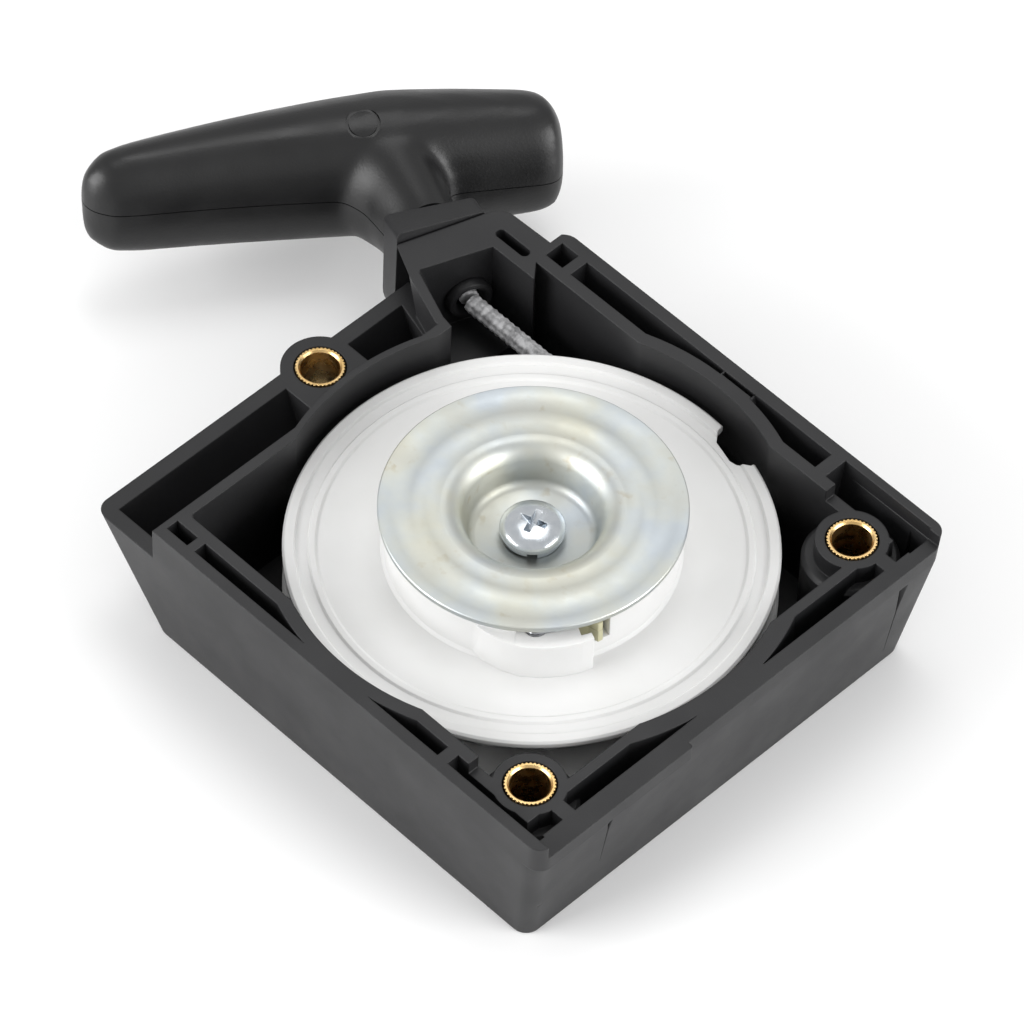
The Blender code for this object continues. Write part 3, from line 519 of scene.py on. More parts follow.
def pocket_cutters():
    tools = [
        wall_pocket("cut", "-y", -35.2, -30.9, 36.8, 39.0, 37.6),
        wall_pocket("cut", "-y", -29.4, -4.0, 36.8, 39.0, 37.6, arc_r=39.5),
        wall_pocket("cut", "-y", 20.7, 4.0, 36.8, 39.0, 37.6, arc_r=39.5),
        wall_pocket("cut", "-y", 22.7, 40.0, 36.8, 39.0, 37.6),
        wall_pocket("cut", "+y", -35.0, -31.5, 36.9, 40.5, 37.9),
        wall_pocket("cut", "+y", -29.8, -0.6, 36.9, 40.5, 37.9, arc_r=39.5),
        wall_pocket("cut", "+y", 20.6, 4.6, 36.9, 40.5, 37.9, arc_r=39.5),
        wall_pocket("cut", "+y", 22.8, 39.9, 36.8, 41.2, 37.9),
        wall_pocket("cut", "+x", -30.4, -5.0, 36.6, 39.9, 38.2, arc_r=40.2),
        wall_pocket("cut", "+x", 31.9, 6.1, 36.6, 39.9, 38.2, arc_r=40.2),
        wall_pocket("cut", "+x", -38.5, -32.8, 36.6, 39.9, 38.2),
        wall_pocket("cut", "+x", 34.2, 40.5, 36.6, 39.9, 38.2),
        prism("cut", [(-1.0, 39.5), (5.0, 39.5), (5.0, 40.3), (-1.0, 40.3)], 22.0, 40),
    ]
    rings = []
    for z, far in ((POCKET_Z, 40.8), (LEDGE_Z + 1.0, 46.7)):
        outline = [(-38.3, 36.25), (-38.3, far), (-5.15, far), (-5.15, 38.05)]
        outline += [(-7.7, 37.6), (-10.2, 37.0), (-12.7, 36.25)]
        rings.append([(-v, u, z) for u, v in outline])
    tools.append(loft("cut", rings))
    rings = []
    for z, far in ((POCKET_Z, 40.8), (LEDGE_Z + 1.0, 46.7)):
        outline = [(7.3, far), (18.3, far), (15.6, 36.9), (13.5, 36.3), (10.4, 37.3), (7.3, 38.0)]
        rings.append([(-v, u, z) for u, v in outline])
    tools.append(loft("cut", rings))
    return tools


def wall_groove(along, top, bottom, width):
    """A tapering V groove in the +X wall's outside."""
    rings = []
    for z, share in ((bottom, 0.15), (top, 1.0)):
        face = mixed(BASE_X, WALL_X_MAX, z / DRAFT_TOP_X)
        half = width * share / 2
        wide = half * 1.4
        outline = [(face + 2, along - wide), (face + 2, along + wide), (face - 1.1 * share, along)]
        rings.append([(x, y, z) for x, y in outline])
    return loft("cut", rings)


def make_housing(material):
    body = loft("housing", [housing_ring(z) for z in (0.0, LEDGE_Z, DRAFT_TOP_X, RIM_Z)])
    join(body, turned("boss", [(4.6, 5.0), (BOSS_1_R, 9.0), (BOSS_1_R, 24.0)], BOSS_1, 36))
    cut(body, ledge_cutter())
    pad = rounded([(38.0, -40.8, 0), (43.1, -40.8, CORNER_R), (43.1, -10.5, 0.4), (38.0, -10.5, 0)])
    join(body, prism("pad", pad, DRAFT_TOP_X, RIM_Z))
    join(body, loft("tower", [tower_ring(z) for z in (0.0, 6.0, RIM_Z)]))
    cut(body, *chamber_cutters())
    cut(body, *pocket_cutters())
    for centre in (BOSS_2, BOSS_3):
        foot_top = STEP_Z - BOSS_STEP
        profile = [(BOSS_FOOT_R, FLOOR_Z - 1), (BOSS_FOOT_R, foot_top - 0.6), (BOSS_FOOT_R - 0.6, foot_top)]
        profile += [(BOSS_R, foot_top + 0.1), (BOSS_R, STEP_Z + 1.0)]
        boss = turned("boss", profile, centre, 36)
        combine(boss, loft("limit", [housing_ring(z, 0.5) for z in (0.5, LEDGE_Z, RIM_Z)]), "INTERSECT")
        join(body, boss)
    cut(body, step_cutter())
    for centre, top in ((BOSS_1, LEDGE_Z), (BOSS_2, STEP_Z), (BOSS_3, STEP_Z)):
        cut(body, cylinder("cut", centre, BOSS_BORE_R, -1, 40))
        cut(body, cylinder("cut", centre, INSERT_SEAT_R, top - INSERT_LENGTH - GAP, 40, 40))
    slot = arc(0.85, 90, 270, 8, (-42.45, 35.0)) + arc(0.85, -90, 90, 8, (-37.55, 35.0))
    cut(body, prism("cut", slot, 14.0, 40))
    cut(body, wall_groove(-25.3, 21.3, 7.5, 3.6), wall_groove(33.6, 20.6, 3.0, 3.6))
    guide = Vector(GUIDE_CENTRE)
    axis = Vector(GUIDE_AXIS)
    cut(body, rod("cut", guide - axis * 6, guide + axis * 2.0, GUIDE_TUBE_R + 0.15, 32))
    cut(body, rod("cut", guide, guide + axis * 9, 2.5, 24))
    join(body, turned("post", [(9.0, FLOOR_Z - 1), (9.0, 2.2), (POST_R, 2.6), (POST_R, POST_TOP_Z)]))
    cut(body, cylinder("cut", (0, 0), 3.3, 8.0, 40))
    return finish(body, material, sharp=30)


def make_inserts(material):
    """Knurled brass inserts, open right through."""
    places = ((BOSS_1, LEDGE_Z), (BOSS_2, STEP_Z), (BOSS_3, STEP_Z))
    rims = []
    for number, (centre, top) in enumerate(places, 1):
        low = top - INSERT_LENGTH
        rings = []
        for z, shrink in ((low, 0.12), (top - 0.25, 0.0), (top + 0.1, 0.16)):
            outer = []
            for i in range(TEETH * 4):
                radius = INSERT_R - shrink - (0.0, 0.0, 0.16, 0.16)[i % 4]
                angle = 2 * math.pi * i / (TEETH * 4)
                outer.append((centre[0] + radius * math.cos(angle), centre[1] + radius * math.sin(angle)))
            rings.append([(x, y, z) for x, y in outer])
        made = loft("insert", rings)
        bore = [(INSERT_BORE_R, low - 1), (INSERT_BORE_R, top - 0.2), (INSERT_BORE_R + 0.5, top + 0.3)]
        cut(made, turned("cut", bore, centre, 28))
        rims.append(finish(made, material, f"brass_insert_{number}"))
    return rims


def make_guide(material):
    profile = [(3.7, -0.1), (3.7, -0.8), (3.4, -1.3), (2.9, -1.5), (2.4, -1.2), (2.1, -0.6)]
    profile += [(GUIDE_BORE_R, 0.1), (GUIDE_BORE_R, 1.8), (GUIDE_TUBE_R, 1.8), (GUIDE_TUBE_R, -0.1)]
    made = ring_on_axis("rope_guide", profile, GUIDE_CENTRE, GUIDE_AXIS, 40)
    return finish(made, material)


# ---------------------------------------------------------------- pulley


def sector(inner, outer, start, end, low, high):
    outline = arc(outer, start, end, 8) + arc(inner, end, start, 8)
    return prism("cut", outline, low, high)


def make_pulley(material):
    groove_low = LOWER_FLANGE_Z + FLANGE
    groove_high = FLANGE_TOP_Z - FLANGE
    profile = [
        (PULLEY_BORE_R, FLOOR_Z + 0.9), (9.3, FLOOR_Z + 0.9),
        (9.3, LOWER_FLANGE_Z), (PULLEY_R - 0.3, LOWER_FLANGE_Z),
        (PULLEY_R, LOWER_FLANGE_Z + 0.3), (PULLEY_R, groove_low - 0.4), (PULLEY_R - 0.4, groove_low - 0.1),
        (GROOVE_R + 0.6, groove_low), (GROOVE_R, groove_low + 0.6), (GROOVE_R, groove_high - 0.6),
        (GROOVE_R + 0.6, groove_high), (PULLEY_R - 0.4, groove_high + 0.1), (PULLEY_R, groove_high + 0.4),
        (PULLEY_R, FLANGE_TOP_Z - 0.35), (PULLEY_R - 0.35, FLANGE_TOP_Z), (34.3, FLANGE_TOP_Z),
        (34.0, FLANGE_TOP_Z - 0.45), (32.4, FLANGE_TOP_Z - 0.45), (32.1, FLANGE_TOP_Z - 0.1),
        (31.3, FLANGE_TOP_Z - 0.1), (30.9, HUB_FLOOR_Z - 0.1), (HUB_R + 0.5, HUB_FLOOR_Z - 0.1),
        (HUB_R, HUB_FLOOR_Z + 0.4), (HUB_R, HUB_TOP_Z - 0.3), (HUB_R - 0.3, HUB_TOP_Z),
        (HUB_INNER_R, HUB_TOP_Z), (HUB_INNER_R, HUB_FLOOR_Z + 0.2), (9.4, HUB_FLOOR_Z + 0.2),
        (9.0, BOSS_TOP_Z), (PULLEY_BORE_R, BOSS_TOP_Z),
    ]
    body = ring("pulley", profile, steps=64)
    swing_room = [(18.0, 1.0), (20.0, 1.0), (20.1, 8.0), (20.6, 15.4), (21.6, 18.5), (22.5, 21.2)]
    swing_room.append((18.0, 21.2))
    shoulder = [(-27, 21.0), (-20, 22.1), (-12, 23.2), (-5, 23.9), (2, 24.1), (9, 24.1)]
    shoulder += [(16, 24.0), (20.5, 23.7)]
    for turn in (0, 180):
        outline = [polar(r, PAWL_PIN_ANGLE + turn + a, 0).xy for a, r in shoulder]
        outline += [polar(18.8, PAWL_PIN_ANGLE + turn + a, 0).xy for a in (20.5, 8, -4, -15, -27)]
        join(body, prism("shoulder", outline, HUB_FLOOR_Z - 1, SHOULDER_TOP_Z))
    for turn in (0, 180):
        angle = PAWL_PIN_ANGLE + turn
        pin = polar(PAWL_PIN_CIRCLE_R, angle, 0)
        cut(body, cylinder("cut", pin.xy, PAWL_EYE_R + 0.25, PAWL_Z[0] - 0.3, PAWL_Z[1] + 0.15, 28))
        cut(body, cylinder("cut", pin.xy, PAWL_PIN_R + 0.65, PAWL_Z[1] - 0.5, 40, 28))
        cut(body, sector(14.0, 26.0, angle - 7.5, angle + 17.0, SHOULDER_TOP_Z - 0.03, 40))
        cut(body, sector(15.5, 26.0, angle + 20.8, angle + 29.8, PAWL_Z[0] - 0.2, 40))
        cut(body, sector(15.6, 22.6, angle + 16.6, angle + 21.3, PAWL_Z[0] - 0.25, 40))
        cut(body, sector(15.2, 19.6, angle - 6.0, angle + 20.0, PAWL_Z[0] - 0.35, 40))
        room = [polar(r, angle + a, 0).xy for r, a in swing_room]
        cut(body, prism("cut", room, PAWL_Z[0] - 0.15, PAWL_Z[1] + 0.1))
        cut(body, cylinder("cut", pin.xy, PAWL_PIN_R + 0.06, 15.0, 40))
    notch = [(2.6, 40), (3.4, 34.6), (4.6, 33.1), (6.4, 32.6), (8.4, 32.0), (9.6, 32.2)]
    notch += [(11.4, 33.4), (12.2, 40)]
    cut(body, prism("cut", notch, groove_high - 0.6, 40))
    cut(body, cylinder("cut", polar(20.6, 200, 0).xy, 3.7, 5.0, 16.9, 28))
    cut(body, rod("cut", polar(20.0, 199, 14.9), polar(29.0, 209, 14.8), 2.2, 20))
    slot = [polar(7.4, -12, 0).xy, polar(12, -9.5, 0).xy, polar(12, -3.0, 0).xy, polar(7.4, -2.0, 0).xy]
    cut(body, prism("cut", slot, FLOOR_Z, 10.6))
    return finish(body, material, origin=(0, 0, HUB_FLOOR_Z), sharp=30)


# ---------------------------------------------------------------- disc and screw


def make_disc(material):
    top = DISC_TOP_Z
    under = DISC_TOP_Z - DISC_THICK
    low = DISC_FLOOR_Z
    below = DISC_FLOOR_Z - DISC_THICK
    step = top - DISC_STEP
    profile = [
        (2.75, below), (8.9, below), (10.1, below + 0.9), (10.6, below + 2.4), (11.2, under - 1.4),
        (11.9, under - 0.35), (13.0, under), (DISC_R - 0.1, under), (DISC_R, under + 0.2),
        (DISC_R, top - 0.15), (DISC_R - 0.15, top), (21.9, top), (20.9, top), (20.7, top),
        (20.5, step), (20.3, step), (18.0, step), (17.8, step), (17.6, top), (17.4, top),
        (15.9, top), (15.7, top), (15.5, step), (15.3, step), (13.9, step), (13.7, step),
        (13.4, top), (13.2, top), (12.7, step), (12.2, top - 0.14), (11.7, top - 0.36),
        (10.7, top - 1.1), (10.1, top - 2.4), (9.5, low + 1.3), (9.0, low + 0.35), (8.2, low), (2.75, low),
    ]
    return finish(ring("retaining_disc", profile, steps=56), material, sharp=40)


def make_washer(material):
    """A split lock washer whose ends stand slightly apart."""
    steps = 34
    points = []
    for i in range(steps + 1):
        angle = -35.0 + 340.0 * i / steps
        low = DISC_FLOOR_Z + 0.06 + 0.3 * i / steps
        for radius, z in ((2.65, low), (4.35, low), (4.35, low + 0.85), (2.65, low + 0.85)):
            points.append(polar(radius, angle, z))
    faces = [(0, 1, 2, 3), (4 * steps, 4 * steps + 1, 4 * steps + 2, 4 * steps + 3)]
    for i in range(steps):
        for k in range(4):
            n = (k + 1) % 4
            faces.append((4 * i + k, 4 * i + n, 4 * i + 4 + n, 4 * i + 4 + k))
    return finish(mesh_object("lock_washer", points, faces), material)


def make_screw(material):
    base = DISC_FLOOR_Z + 1.28
    profile = [(SCREW_R - 0.5, 9.6), (SCREW_R, 10.2), (SCREW_R, base), (SCREW_HEAD_R - 0.15, base)]
    profile += [(SCREW_HEAD_R, base + 0.2), (SCREW_HEAD_R, base + 0.75), (4.5, base + 1.25)]
    profile += [(3.7, base + 1.7)]
    profile += [(2.4, base + 2.0), (1.0, base + 2.1)]
    body = turned("centre_screw", profile, steps=40)
    top = base + 2.1
    for turn in (20, 110):
        along = polar(1, turn, 0)
        across = polar(1, turn + 90, 0)
        rings = []
        for z, length, width in ((top - 1.5, 1.2, 0.7), (top + 0.5, 5.6, 1.15)):
            a = along * length / 2
            b = across * width / 2
            rise = Vector((0, 0, z))
            rings.append([rise - a - b, rise + a - b, rise + a + b, rise - a + b])
        cut(body, loft("cut", rings))
    return finish(body, material, sharp=30)


# ---------------------------------------------------------------- rope and handle


def rope_points():
    """Where the rope leaves the pulley, passes the guide and ends at the knot in the handle."""
    guide = Vector(GUIDE_CENTRE) - Vector(GUIDE_AXIS) * 1.0
    guide.z = 16.7
    start = Vector((-18.5, 29.1, 14.75))
    end = guide + PULL_LINE * 27.0
    return start, guide, end


def handle_section(across, out, depth, height, steps=20):
    """One upright section of the bar."""
    loop = []
    for i in range(steps):
        angle = 2 * math.pi * i / steps
        x = math.copysign(abs(math.cos(angle)) ** 0.85, math.cos(angle))
        y = math.copysign(abs(math.sin(angle)) ** 0.85, math.sin(angle))
        place = NOSE_CENTRE + UPWARD * 6.25 + ACROSS * across
        loop.append(place + OUTWARD * (out + x * depth) + UPWARD * y * height)
    return loop


def handle_shape():
    """The whole grip as one closed smooth body."""
    rings = []
    for i in range(17):
        share = -math.cos(math.pi * i / 16)
        across = share * (ARM_LONG if share < 0 else ARM_SHORT)
        out = 25.0 - 0.15 * across - 0.0019 * across**2
        side = abs(share)
        end_depth, end_height = (4.4, 8.1) if share < 0 else (6.4, 9.3)
        depth = mixed(8.75, end_depth, side**1.2)
        height = mixed(11.2, end_height, side**1.2)
        cap = math.sqrt(max(1 - max((side - 0.86) / 0.14, 0.0) ** 2.6, 0.05))
        rings.append(handle_section(across, out, depth * cap, height * (0.35 + 0.65 * cap)))
    bar = loft("bar", rings)
    stem = []
    for share, across, half_w, half_h in (
        (0.08, 0.0, 5.9, 7.0), (0.3, -0.2, 5.6, 7.6), (0.6, -1.0, 6.6, 8.8),
        (0.8, -1.5, 9.5, 9.6), (1.0, -1.5, 12.0, 9.8),
    ):
        centre = NOSE_CENTRE + (OUTWARD * 25.0 + UPWARD * 6.25) * share + ACROSS * across
        loop = []
        for x, y in circle(1.0, 20):
            loop.append(centre + ACROSS * x * half_w + UPWARD * y * half_h)
        stem.append(loop)
    join(bar, loft("stem", stem))
    smooth = bar.modifiers.new("blend", "REMESH")
    smooth.mode = "VOXEL"
    smooth.voxel_size = 0.7 * MM
    soften = bar.modifiers.new("soften", "SMOOTH")
    soften.factor = 0.5
    soften.iterations = 22
    graph = bpy.context.evaluated_depsgraph_get()
    made = bpy.data.meshes.new_from_object(bar.evaluated_get(graph))
    bar.modifiers.clear()
    bar.data = made
    return bar


def make_handle(material, nose_material):
    """Two half shells with the rope's way and a knot's room between them, and the square nose."""
    _, guide, knot_place = rope_points()
    grip = handle_shape()
    axis = (OUTWARD * 25.0 + UPWARD * 6.25).normalized()
    normal = axis.cross(ACROSS).normalized()
    if normal.z < 0:
        normal = -normal
    groove = [(2.15, -0.35), (2.65, -0.35), (2.65, 1.2), (2.15, 1.2)]
    cut(grip, ring_on_axis("cut", groove, GROOVE_CENTRE, GROOVE_AXIS, 18))
    cut(grip, rod("cut", guide, knot_place, ROPE_HOLE_R, 16))
    cut(grip, rod("cut", knot_place - PULL_LINE * 2.5, knot_place + PULL_LINE * 6.8, 4.6, 20))
    nose_plane = NOSE_CENTRE + OUTWARD * NOSE_LENGTH
    behind = nose_plane - OUTWARD * (20 - 0.15)
    cut(grip, block("cut", behind, (ACROSS, UPWARD, OUTWARD), (60, 60, 40)))
    middle = NOSE_CENTRE + axis * 15
    halves = []
    for name, side in (("handle_upper", 1), ("handle_lower", -1)):
        half = grip.copy()
        half.data = grip.data.copy()
        bpy.context.scene.collection.objects.link(half)
        room = block("cut", middle - normal * side * (30 - 0.075), (axis, ACROSS, normal), (160, 160, 60))
        cut(half, room)
        halves.append(finish(half, material, name, origin=NOSE_CENTRE, sharp=40))
    bpy.data.objects.remove(grip)
    return [*halves, make_nose(nose_material, guide, knot_place)]


def make_nose(material, guide, knot_place):
    """The square nose, its tower face trimmed to lie along the tower's leaning front."""
    corner = 1.1
    outline = rounded(
        [
            (-NOSE_WIDTH / 2 - 1.6, -NOSE_HEIGHT / 2, 4.0),
            (NOSE_WIDTH / 2, -NOSE_HEIGHT / 2, 3.2),
            (NOSE_WIDTH / 2, NOSE_HEIGHT / 2 + 1.2, corner),
            (-NOSE_WIDTH / 2 - 0.8, NOSE_HEIGHT / 2 + 0.8, corner),
        ]
    )
    rings = []
    for along, size in ((-4.0, 1.0), (NOSE_LENGTH - 0.6, 1.0), (NOSE_LENGTH - 0.15, 0.95)):
        centre = NOSE_CENTRE + OUTWARD * along
        rings.append([centre + ACROSS * x * size + UPWARD * y * size for x, y in outline])
    body = loft("handle_collar", rings)
    front = Vector((TOWER_FRONT[0][0], TOWER_FRONT[0][1], RIM_Z))
    lean = math.atan(TOWER_SLOPE)
    face = Vector((-0.950 * math.cos(lean), 0.312 * math.cos(lean), -math.sin(lean)))
    run = Vector((0.312, 0.950, 0.0))
    up = run.cross(face).normalized()
    keep_out = front + face * (0.45 - 15)
    cut(body, block("cut", keep_out, (run, up, face), (120, 120, 30)))
    cut(body, rod("cut", guide - PULL_LINE * 4, knot_place, ROPE_HOLE_R + 0.1, 16))
    return finish(body, material, "handle_collar", origin=NOSE_CENTRE, sharp=35)


# ---------------------------------------------------------------- materials


def material(name, colour, roughness, metallic=0.0):
    """A Principled material and its parts; colour and roughness are the values round which they vary."""
    made = bpy.data.materials.new(name)
    made.use_nodes = True
    tree = made.node_tree
    shader = tree.nodes["Principled BSDF"]
    shader.inputs["Base Color"].default_value = (*colour, 1.0)
    shader.inputs["Roughness"].default_value = roughness
    shader.inputs["Metallic"].default_value = metallic
    made.diffuse_color = (*colour, 1.0)
    return made, tree, shader


def noise(tree, scale, detail=3.0, stretch=None):
    """Noise in the object's own space; scale is in features per metre."""
    place = tree.nodes.new("ShaderNodeTexCoord")
    source = place.outputs["Object"]
    if stretch:
        mapping = tree.nodes.new("ShaderNodeMapping")
        mapping.inputs["Scale"].default_value = stretch
        tree.links.new(source, mapping.inputs["Vector"])
        source = mapping.outputs["Vector"]
    made = tree.nodes.new("ShaderNodeTexNoise")
    made.inputs["Scale"].default_value = scale
    made.inputs["Detail"].default_value = detail
    tree.links.new(source, made.inputs["Vector"])
    return made.outputs["Fac"]


def ramp(tree, source, stops):
    """Colour stops read off a value."""
    made = tree.nodes.new("ShaderNodeValToRGB")
    while len(made.color_ramp.elements) < len(stops):
        made.color_ramp.elements.new(0.5)
    for element, (place, colour) in zip(made.color_ramp.elements, stops):
        element.position = place
        element.color = (*colour, 1.0)
    tree.links.new(source, made.inputs["Fac"])
    return made.outputs["Color"]


def spread(tree, source, low, high):
    """A value brought to a range of its own."""
    made = tree.nodes.new("ShaderNodeMapRange")
    made.inputs["From Min"].default_value = 0.3
    made.inputs["From Max"].default_value = 0.7
    made.inputs["To Min"].default_value = low
    made.inputs["To Max"].default_value = high
    tree.links.new(source, made.inputs["Value"])
    return made.outputs["Result"]


def blended(tree, share, first, second):
    """Two colours mixed by a share."""
    made = tree.nodes.new("ShaderNodeMix")
    made.data_type = "RGBA"
    tree.links.new(share, made.inputs["Factor"])
    tree.links.new(first, made.inputs["A"])
    tree.links.new(second, made.inputs["B"])
    return made.outputs["Result"]


def relief(tree, shader, height, distance, strength=1.0, edge=0.0):
    """Bump from a height, over edges softened by a small radius in metres."""
    bump = tree.nodes.new("ShaderNodeBump")
    bump.inputs["Strength"].default_value = strength
    bump.inputs["Distance"].default_value = distance
    tree.links.new(height, bump.inputs["Height"])
    if edge:
        bevel = tree.nodes.new("ShaderNodeBevel")
        bevel.samples = 6
        bevel.inputs["Radius"].default_value = edge
        tree.links.new(bevel.outputs["Normal"], bump.inputs["Normal"])
    tree.links.new(bump.outputs["Normal"], shader.inputs["Normal"])


def black_plastic(name, low, high, rough, grain, edge):
    """Moulded black plastic with a fine grain."""
    made, tree, shader = material(name, low, rough[0])
    broad = noise(tree, 45.0, 4.0)
    tree.links.new(ramp(tree, broad, [(0.35, low), (0.65, high)]), shader.inputs["Base Color"])
    tree.links.new(spread(tree, noise(tree, 130.0), *rough), shader.inputs["Roughness"])
    shader.inputs["Specular IOR Level"].default_value = 0.42
    relief(tree, shader, noise(tree, grain, 4.0), 0.00006, 0.35, edge)
    return made


def nylon(name, low, high, rough, depth):
    """Moulded nylon, slightly translucent."""
    made, tree, shader = material(name, low, rough[0])
    tree.links.new(ramp(tree, noise(tree, 60.0), [(0.3, low), (0.7, high)]), shader.inputs["Base Color"])
    tree.links.new(spread(tree, noise(tree, 200.0), *rough), shader.inputs["Roughness"])
    shader.inputs["Subsurface Weight"].default_value = depth
    shader.inputs["Subsurface Radius"].default_value = (1.0, 0.95, 0.9)
    shader.inputs["Subsurface Scale"].default_value = 0.0015
    relief(tree, shader, noise(tree, 1400.0), 0.00003, 0.3, 0.00022)
    return made


def plated(name, tones, rough, edge=0.00015):
    """Zinc plate: patches of warm and cool tint with small dark marks."""
    made, tree, shader = material(name, tones[0], rough[0], 1.0)
    tint = ramp(tree, noise(tree, 75.0, 5.0), [(0.36, tones[0]), (0.5, tones[1]), (0.64, tones[2])])
    marks = ramp(tree, noise(tree, 520.0, 6.0), [(0.58, tones[3]), (0.68, (0.42, 0.38, 0.30))])
    share = spread(tree, noise(tree, 150.0, 6.0), -0.5, 0.6)
    tree.links.new(blended(tree, share, tint, marks), shader.inputs["Base Color"])
    tree.links.new(spread(tree, noise(tree, 160.0, 6.0), *rough), shader.inputs["Roughness"])
    relief(tree, shader, noise(tree, 900.0, 5.0), 0.00004, 0.3, edge)
    return made


def bare_metal(name, low, high, rough, stretch=None):
    """Metal with fine scatter in tone and polish."""
    made, tree, shader = material(name, low, rough[0], 1.0)
    tone = ramp(tree, noise(tree, 300.0, 4.0), [(0.3, low), (0.7, high)])
    tree.links.new(tone, shader.inputs["Base Color"])
    tree.links.new(spread(tree, noise(tree, 700.0, 5.0, stretch), *rough), shader.inputs["Roughness"])
    relief(tree, shader, noise(tree, 1500.0, 3.0, stretch), 0.00002, 0.3, 0.0001)
    return made


def braid(name):
    """Silver-white braided cord: the strands are in the mesh, the fibres in the bump."""
    made, tree, shader = material(name, (0.75, 0.75, 0.76), 0.5)
    tone = ramp(tree, noise(tree, 900.0, 5.0), [(0.3, (0.2, 0.2, 0.205)), (0.6, (0.6, 0.6, 0.61))])
    tree.links.new(tone, shader.inputs["Base Color"])
    tree.links.new(spread(tree, noise(tree, 1500.0), 0.35, 0.6), shader.inputs["Roughness"])
    shader.inputs["Sheen Weight"].default_value = 0.3
    relief(tree, shader, noise(tree, 6000.0, 2.0), 0.00005, 0.5)
    return made


# ---------------------------------------------------------------- scene


def show(made, body, nodes, name):
    """Puts a piece on its body in place of its CAD nodes."""
    made.name = name
    made.data.name = name
    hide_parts(*nodes)
    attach(made, body)


def area_light(name, place, size, power):
    """A rectangular soft light aimed at the object."""
    lamp = bpy.data.lights.new(name, "AREA")
    lamp.shape = "RECTANGLE"
    lamp.size = size[0]
    lamp.size_y = size[1]
    lamp.energy = power
    made = bpy.data.objects.new(name, lamp)
    bpy.context.scene.collection.objects.link(made)
    made.location = place
    made.rotation_euler = (Vector(LIGHT_AIM) - Vector(place)).to_track_quat("-Z", "Y").to_euler()


def make_camera():
    """The camera at the angle of the photo."""
    lens = bpy.data.cameras.new("camera")
    lens.lens = LENS
    lens.sensor_width = 36.0
    lens.clip_start = 0.05
    lens.clip_end = 20.0
    made = bpy.data.objects.new("camera", lens)
    bpy.context.scene.collection.objects.link(made)
    back = CAMERA_RIGHT.cross(CAMERA_UP)
    turn = Matrix((CAMERA_RIGHT, CAMERA_UP, back)).transposed().to_4x4()
    made.matrix_world = Matrix.Translation(CAMERA_PLACE) @ turn
    bpy.context.scene.camera = made


def make_stage():
    """The pale floor, the surroundings and three soft lights."""
    made, tree, shader = material("stage_white", (0.92, 0.92, 0.92), 0.6)
    tone = ramp(tree, noise(tree, 3.0), [(0.3, (0.915, 0.915, 0.915)), (0.7, (0.93, 0.93, 0.93))])
    tree.links.new(tone, shader.inputs["Base Color"])
    mesh = bpy.data.meshes.new("stage_floor")
    signs = [(-1, -1), (1, -1), (1, 1), (-1, 1)]
    corners = [(x * FLOOR_REACH, y * FLOOR_REACH, FLOOR_DROP) for x, y in signs]
    mesh.from_pydata(corners, [], [(0, 1, 2, 3)])
    floor = bpy.data.objects.new("stage_floor", mesh)
    bpy.context.scene.collection.objects.link(floor)
    mesh.materials.append(made)
    world = bpy.data.worlds.new("studio")
    bpy.context.scene.world = world
    world.use_nodes = True
    sky = world.node_tree.nodes["Background"]
    sky.inputs["Color"].default_value = (1.0, 1.0, 1.0, 1.0)
    sky.inputs["Strength"].default_value = SKY
    for light in LIGHTS:
        area_light(*light)


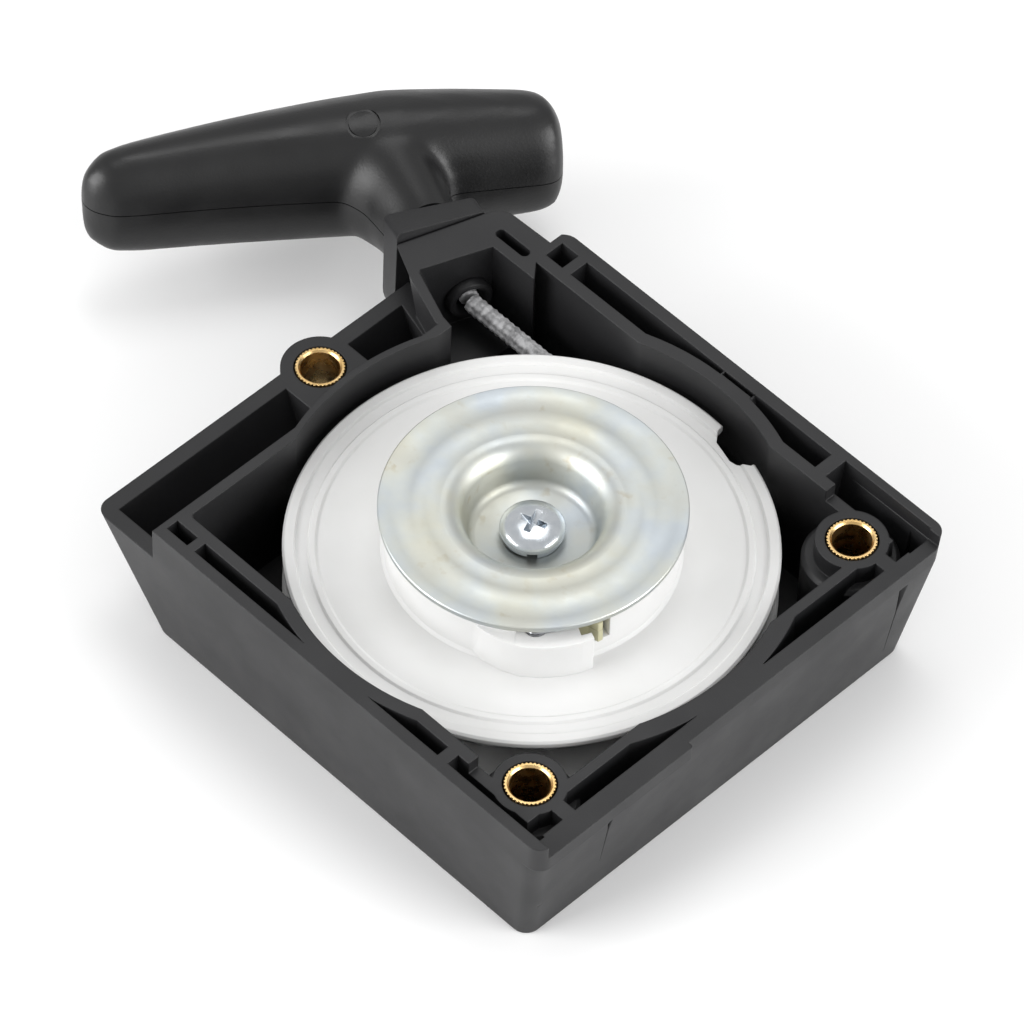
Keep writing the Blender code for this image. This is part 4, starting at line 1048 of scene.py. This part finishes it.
def main():
    bpy.context.scene.view_settings.view_transform = "Standard"
    make_camera()
    make_stage()
    plastic = black_plastic(
        "look_black_plastic", (0.011, 0.011, 0.012), (0.016, 0.016, 0.017), (0.44, 0.54), 3500.0, 0.0003
    )
    grip = black_plastic(
        "look_black_grip", (0.006, 0.006, 0.0063), (0.009, 0.009, 0.0094), (0.32, 0.44), 2600.0, 0.0
    )
    white = nylon("look_white_nylon", (0.69, 0.69, 0.68), (0.74, 0.74, 0.735), (0.45, 0.55), 0.2)
    cream = nylon("look_cream_nylon", (0.50, 0.48, 0.30), (0.58, 0.55, 0.38), (0.4, 0.5), 0.2)
    tints = ((0.50, 0.54, 0.57), (0.56, 0.58, 0.55), (0.60, 0.59, 0.49), (0.54, 0.55, 0.53))
    plate = plated("look_zinc_plate", tints, (0.42, 0.56))
    bright = bare_metal("look_bright_zinc", (0.56, 0.60, 0.64), (0.68, 0.71, 0.74), (0.14, 0.28))
    brass = bare_metal("look_brass", (0.70, 0.46, 0.18), (0.82, 0.58, 0.28), (0.2, 0.36))
    dark = bare_metal("look_dark_steel", (0.16, 0.11, 0.09), (0.3, 0.22, 0.18), (0.3, 0.5))
    steel = bare_metal("look_spring_steel", (0.3, 0.31, 0.33), (0.42, 0.43, 0.45), (0.25, 0.4))
    cord = braid("look_braided_cord")
    finishes = {"black_plastic": plastic, "black_grip": grip, "white_nylon": white, "cream_nylon": cream,
                "zinc_plate": plate, "bright_zinc": bright, "brass": brass, "dark_steel": dark,
                "spring_steel": steel, "braided_cord": cord}
    slots = {entry["node"]: entry["material_slot"] for entry in frame["record"]["subparts"]}
    for node, made in frame["nodes"].items():
        made.data.materials.clear()
        made.data.materials.append(finishes[slots[node]])
    show(make_housing(plastic), "housing", ["housing"], "moulded_housing")
    for number, made in enumerate(make_inserts(brass), 1):
        show(made, "housing", [f"brass_insert_{number}"], f"knurled_insert_{number}")
    show(make_guide(plastic), "housing", ["rope_guide"], "guide_ring")
    show(make_pulley(white), "pulley", ["pulley"], "moulded_pulley")
    show(make_disc(plate), "housing", ["retaining_disc"], "pressed_disc")
    show(make_washer(bright), "housing", ["lock_washer"], "split_washer")
    show(make_screw(bright), "housing", ["centre_screw"], "pan_head_screw")
    upper, lower, nose = make_handle(grip, plastic)
    start, guide, end = rope_points()
    run = braided("cord_run", [start, guide - PULL_LINE * 0.4], ROPE_R, 220)
    run.data.materials.append(cord)
    show(run, "housing", ["rope_run"], "cord_run")
    near = guide + PULL_LINE * 0.5
    far = end - PULL_LINE * 1.1
    lead = braided("cord_lead", [near, far], ROPE_R, 260)
    lead.data.materials.append(cord)
    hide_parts("rope_lead")
    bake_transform(lead)
    show(upper, "handle", ["handle_upper"], "grip_upper")
    show(lower, "handle", ["handle_lower"], "grip_lower")
    show(nose, "handle", ["handle_collar"], "grip_nose")


main()
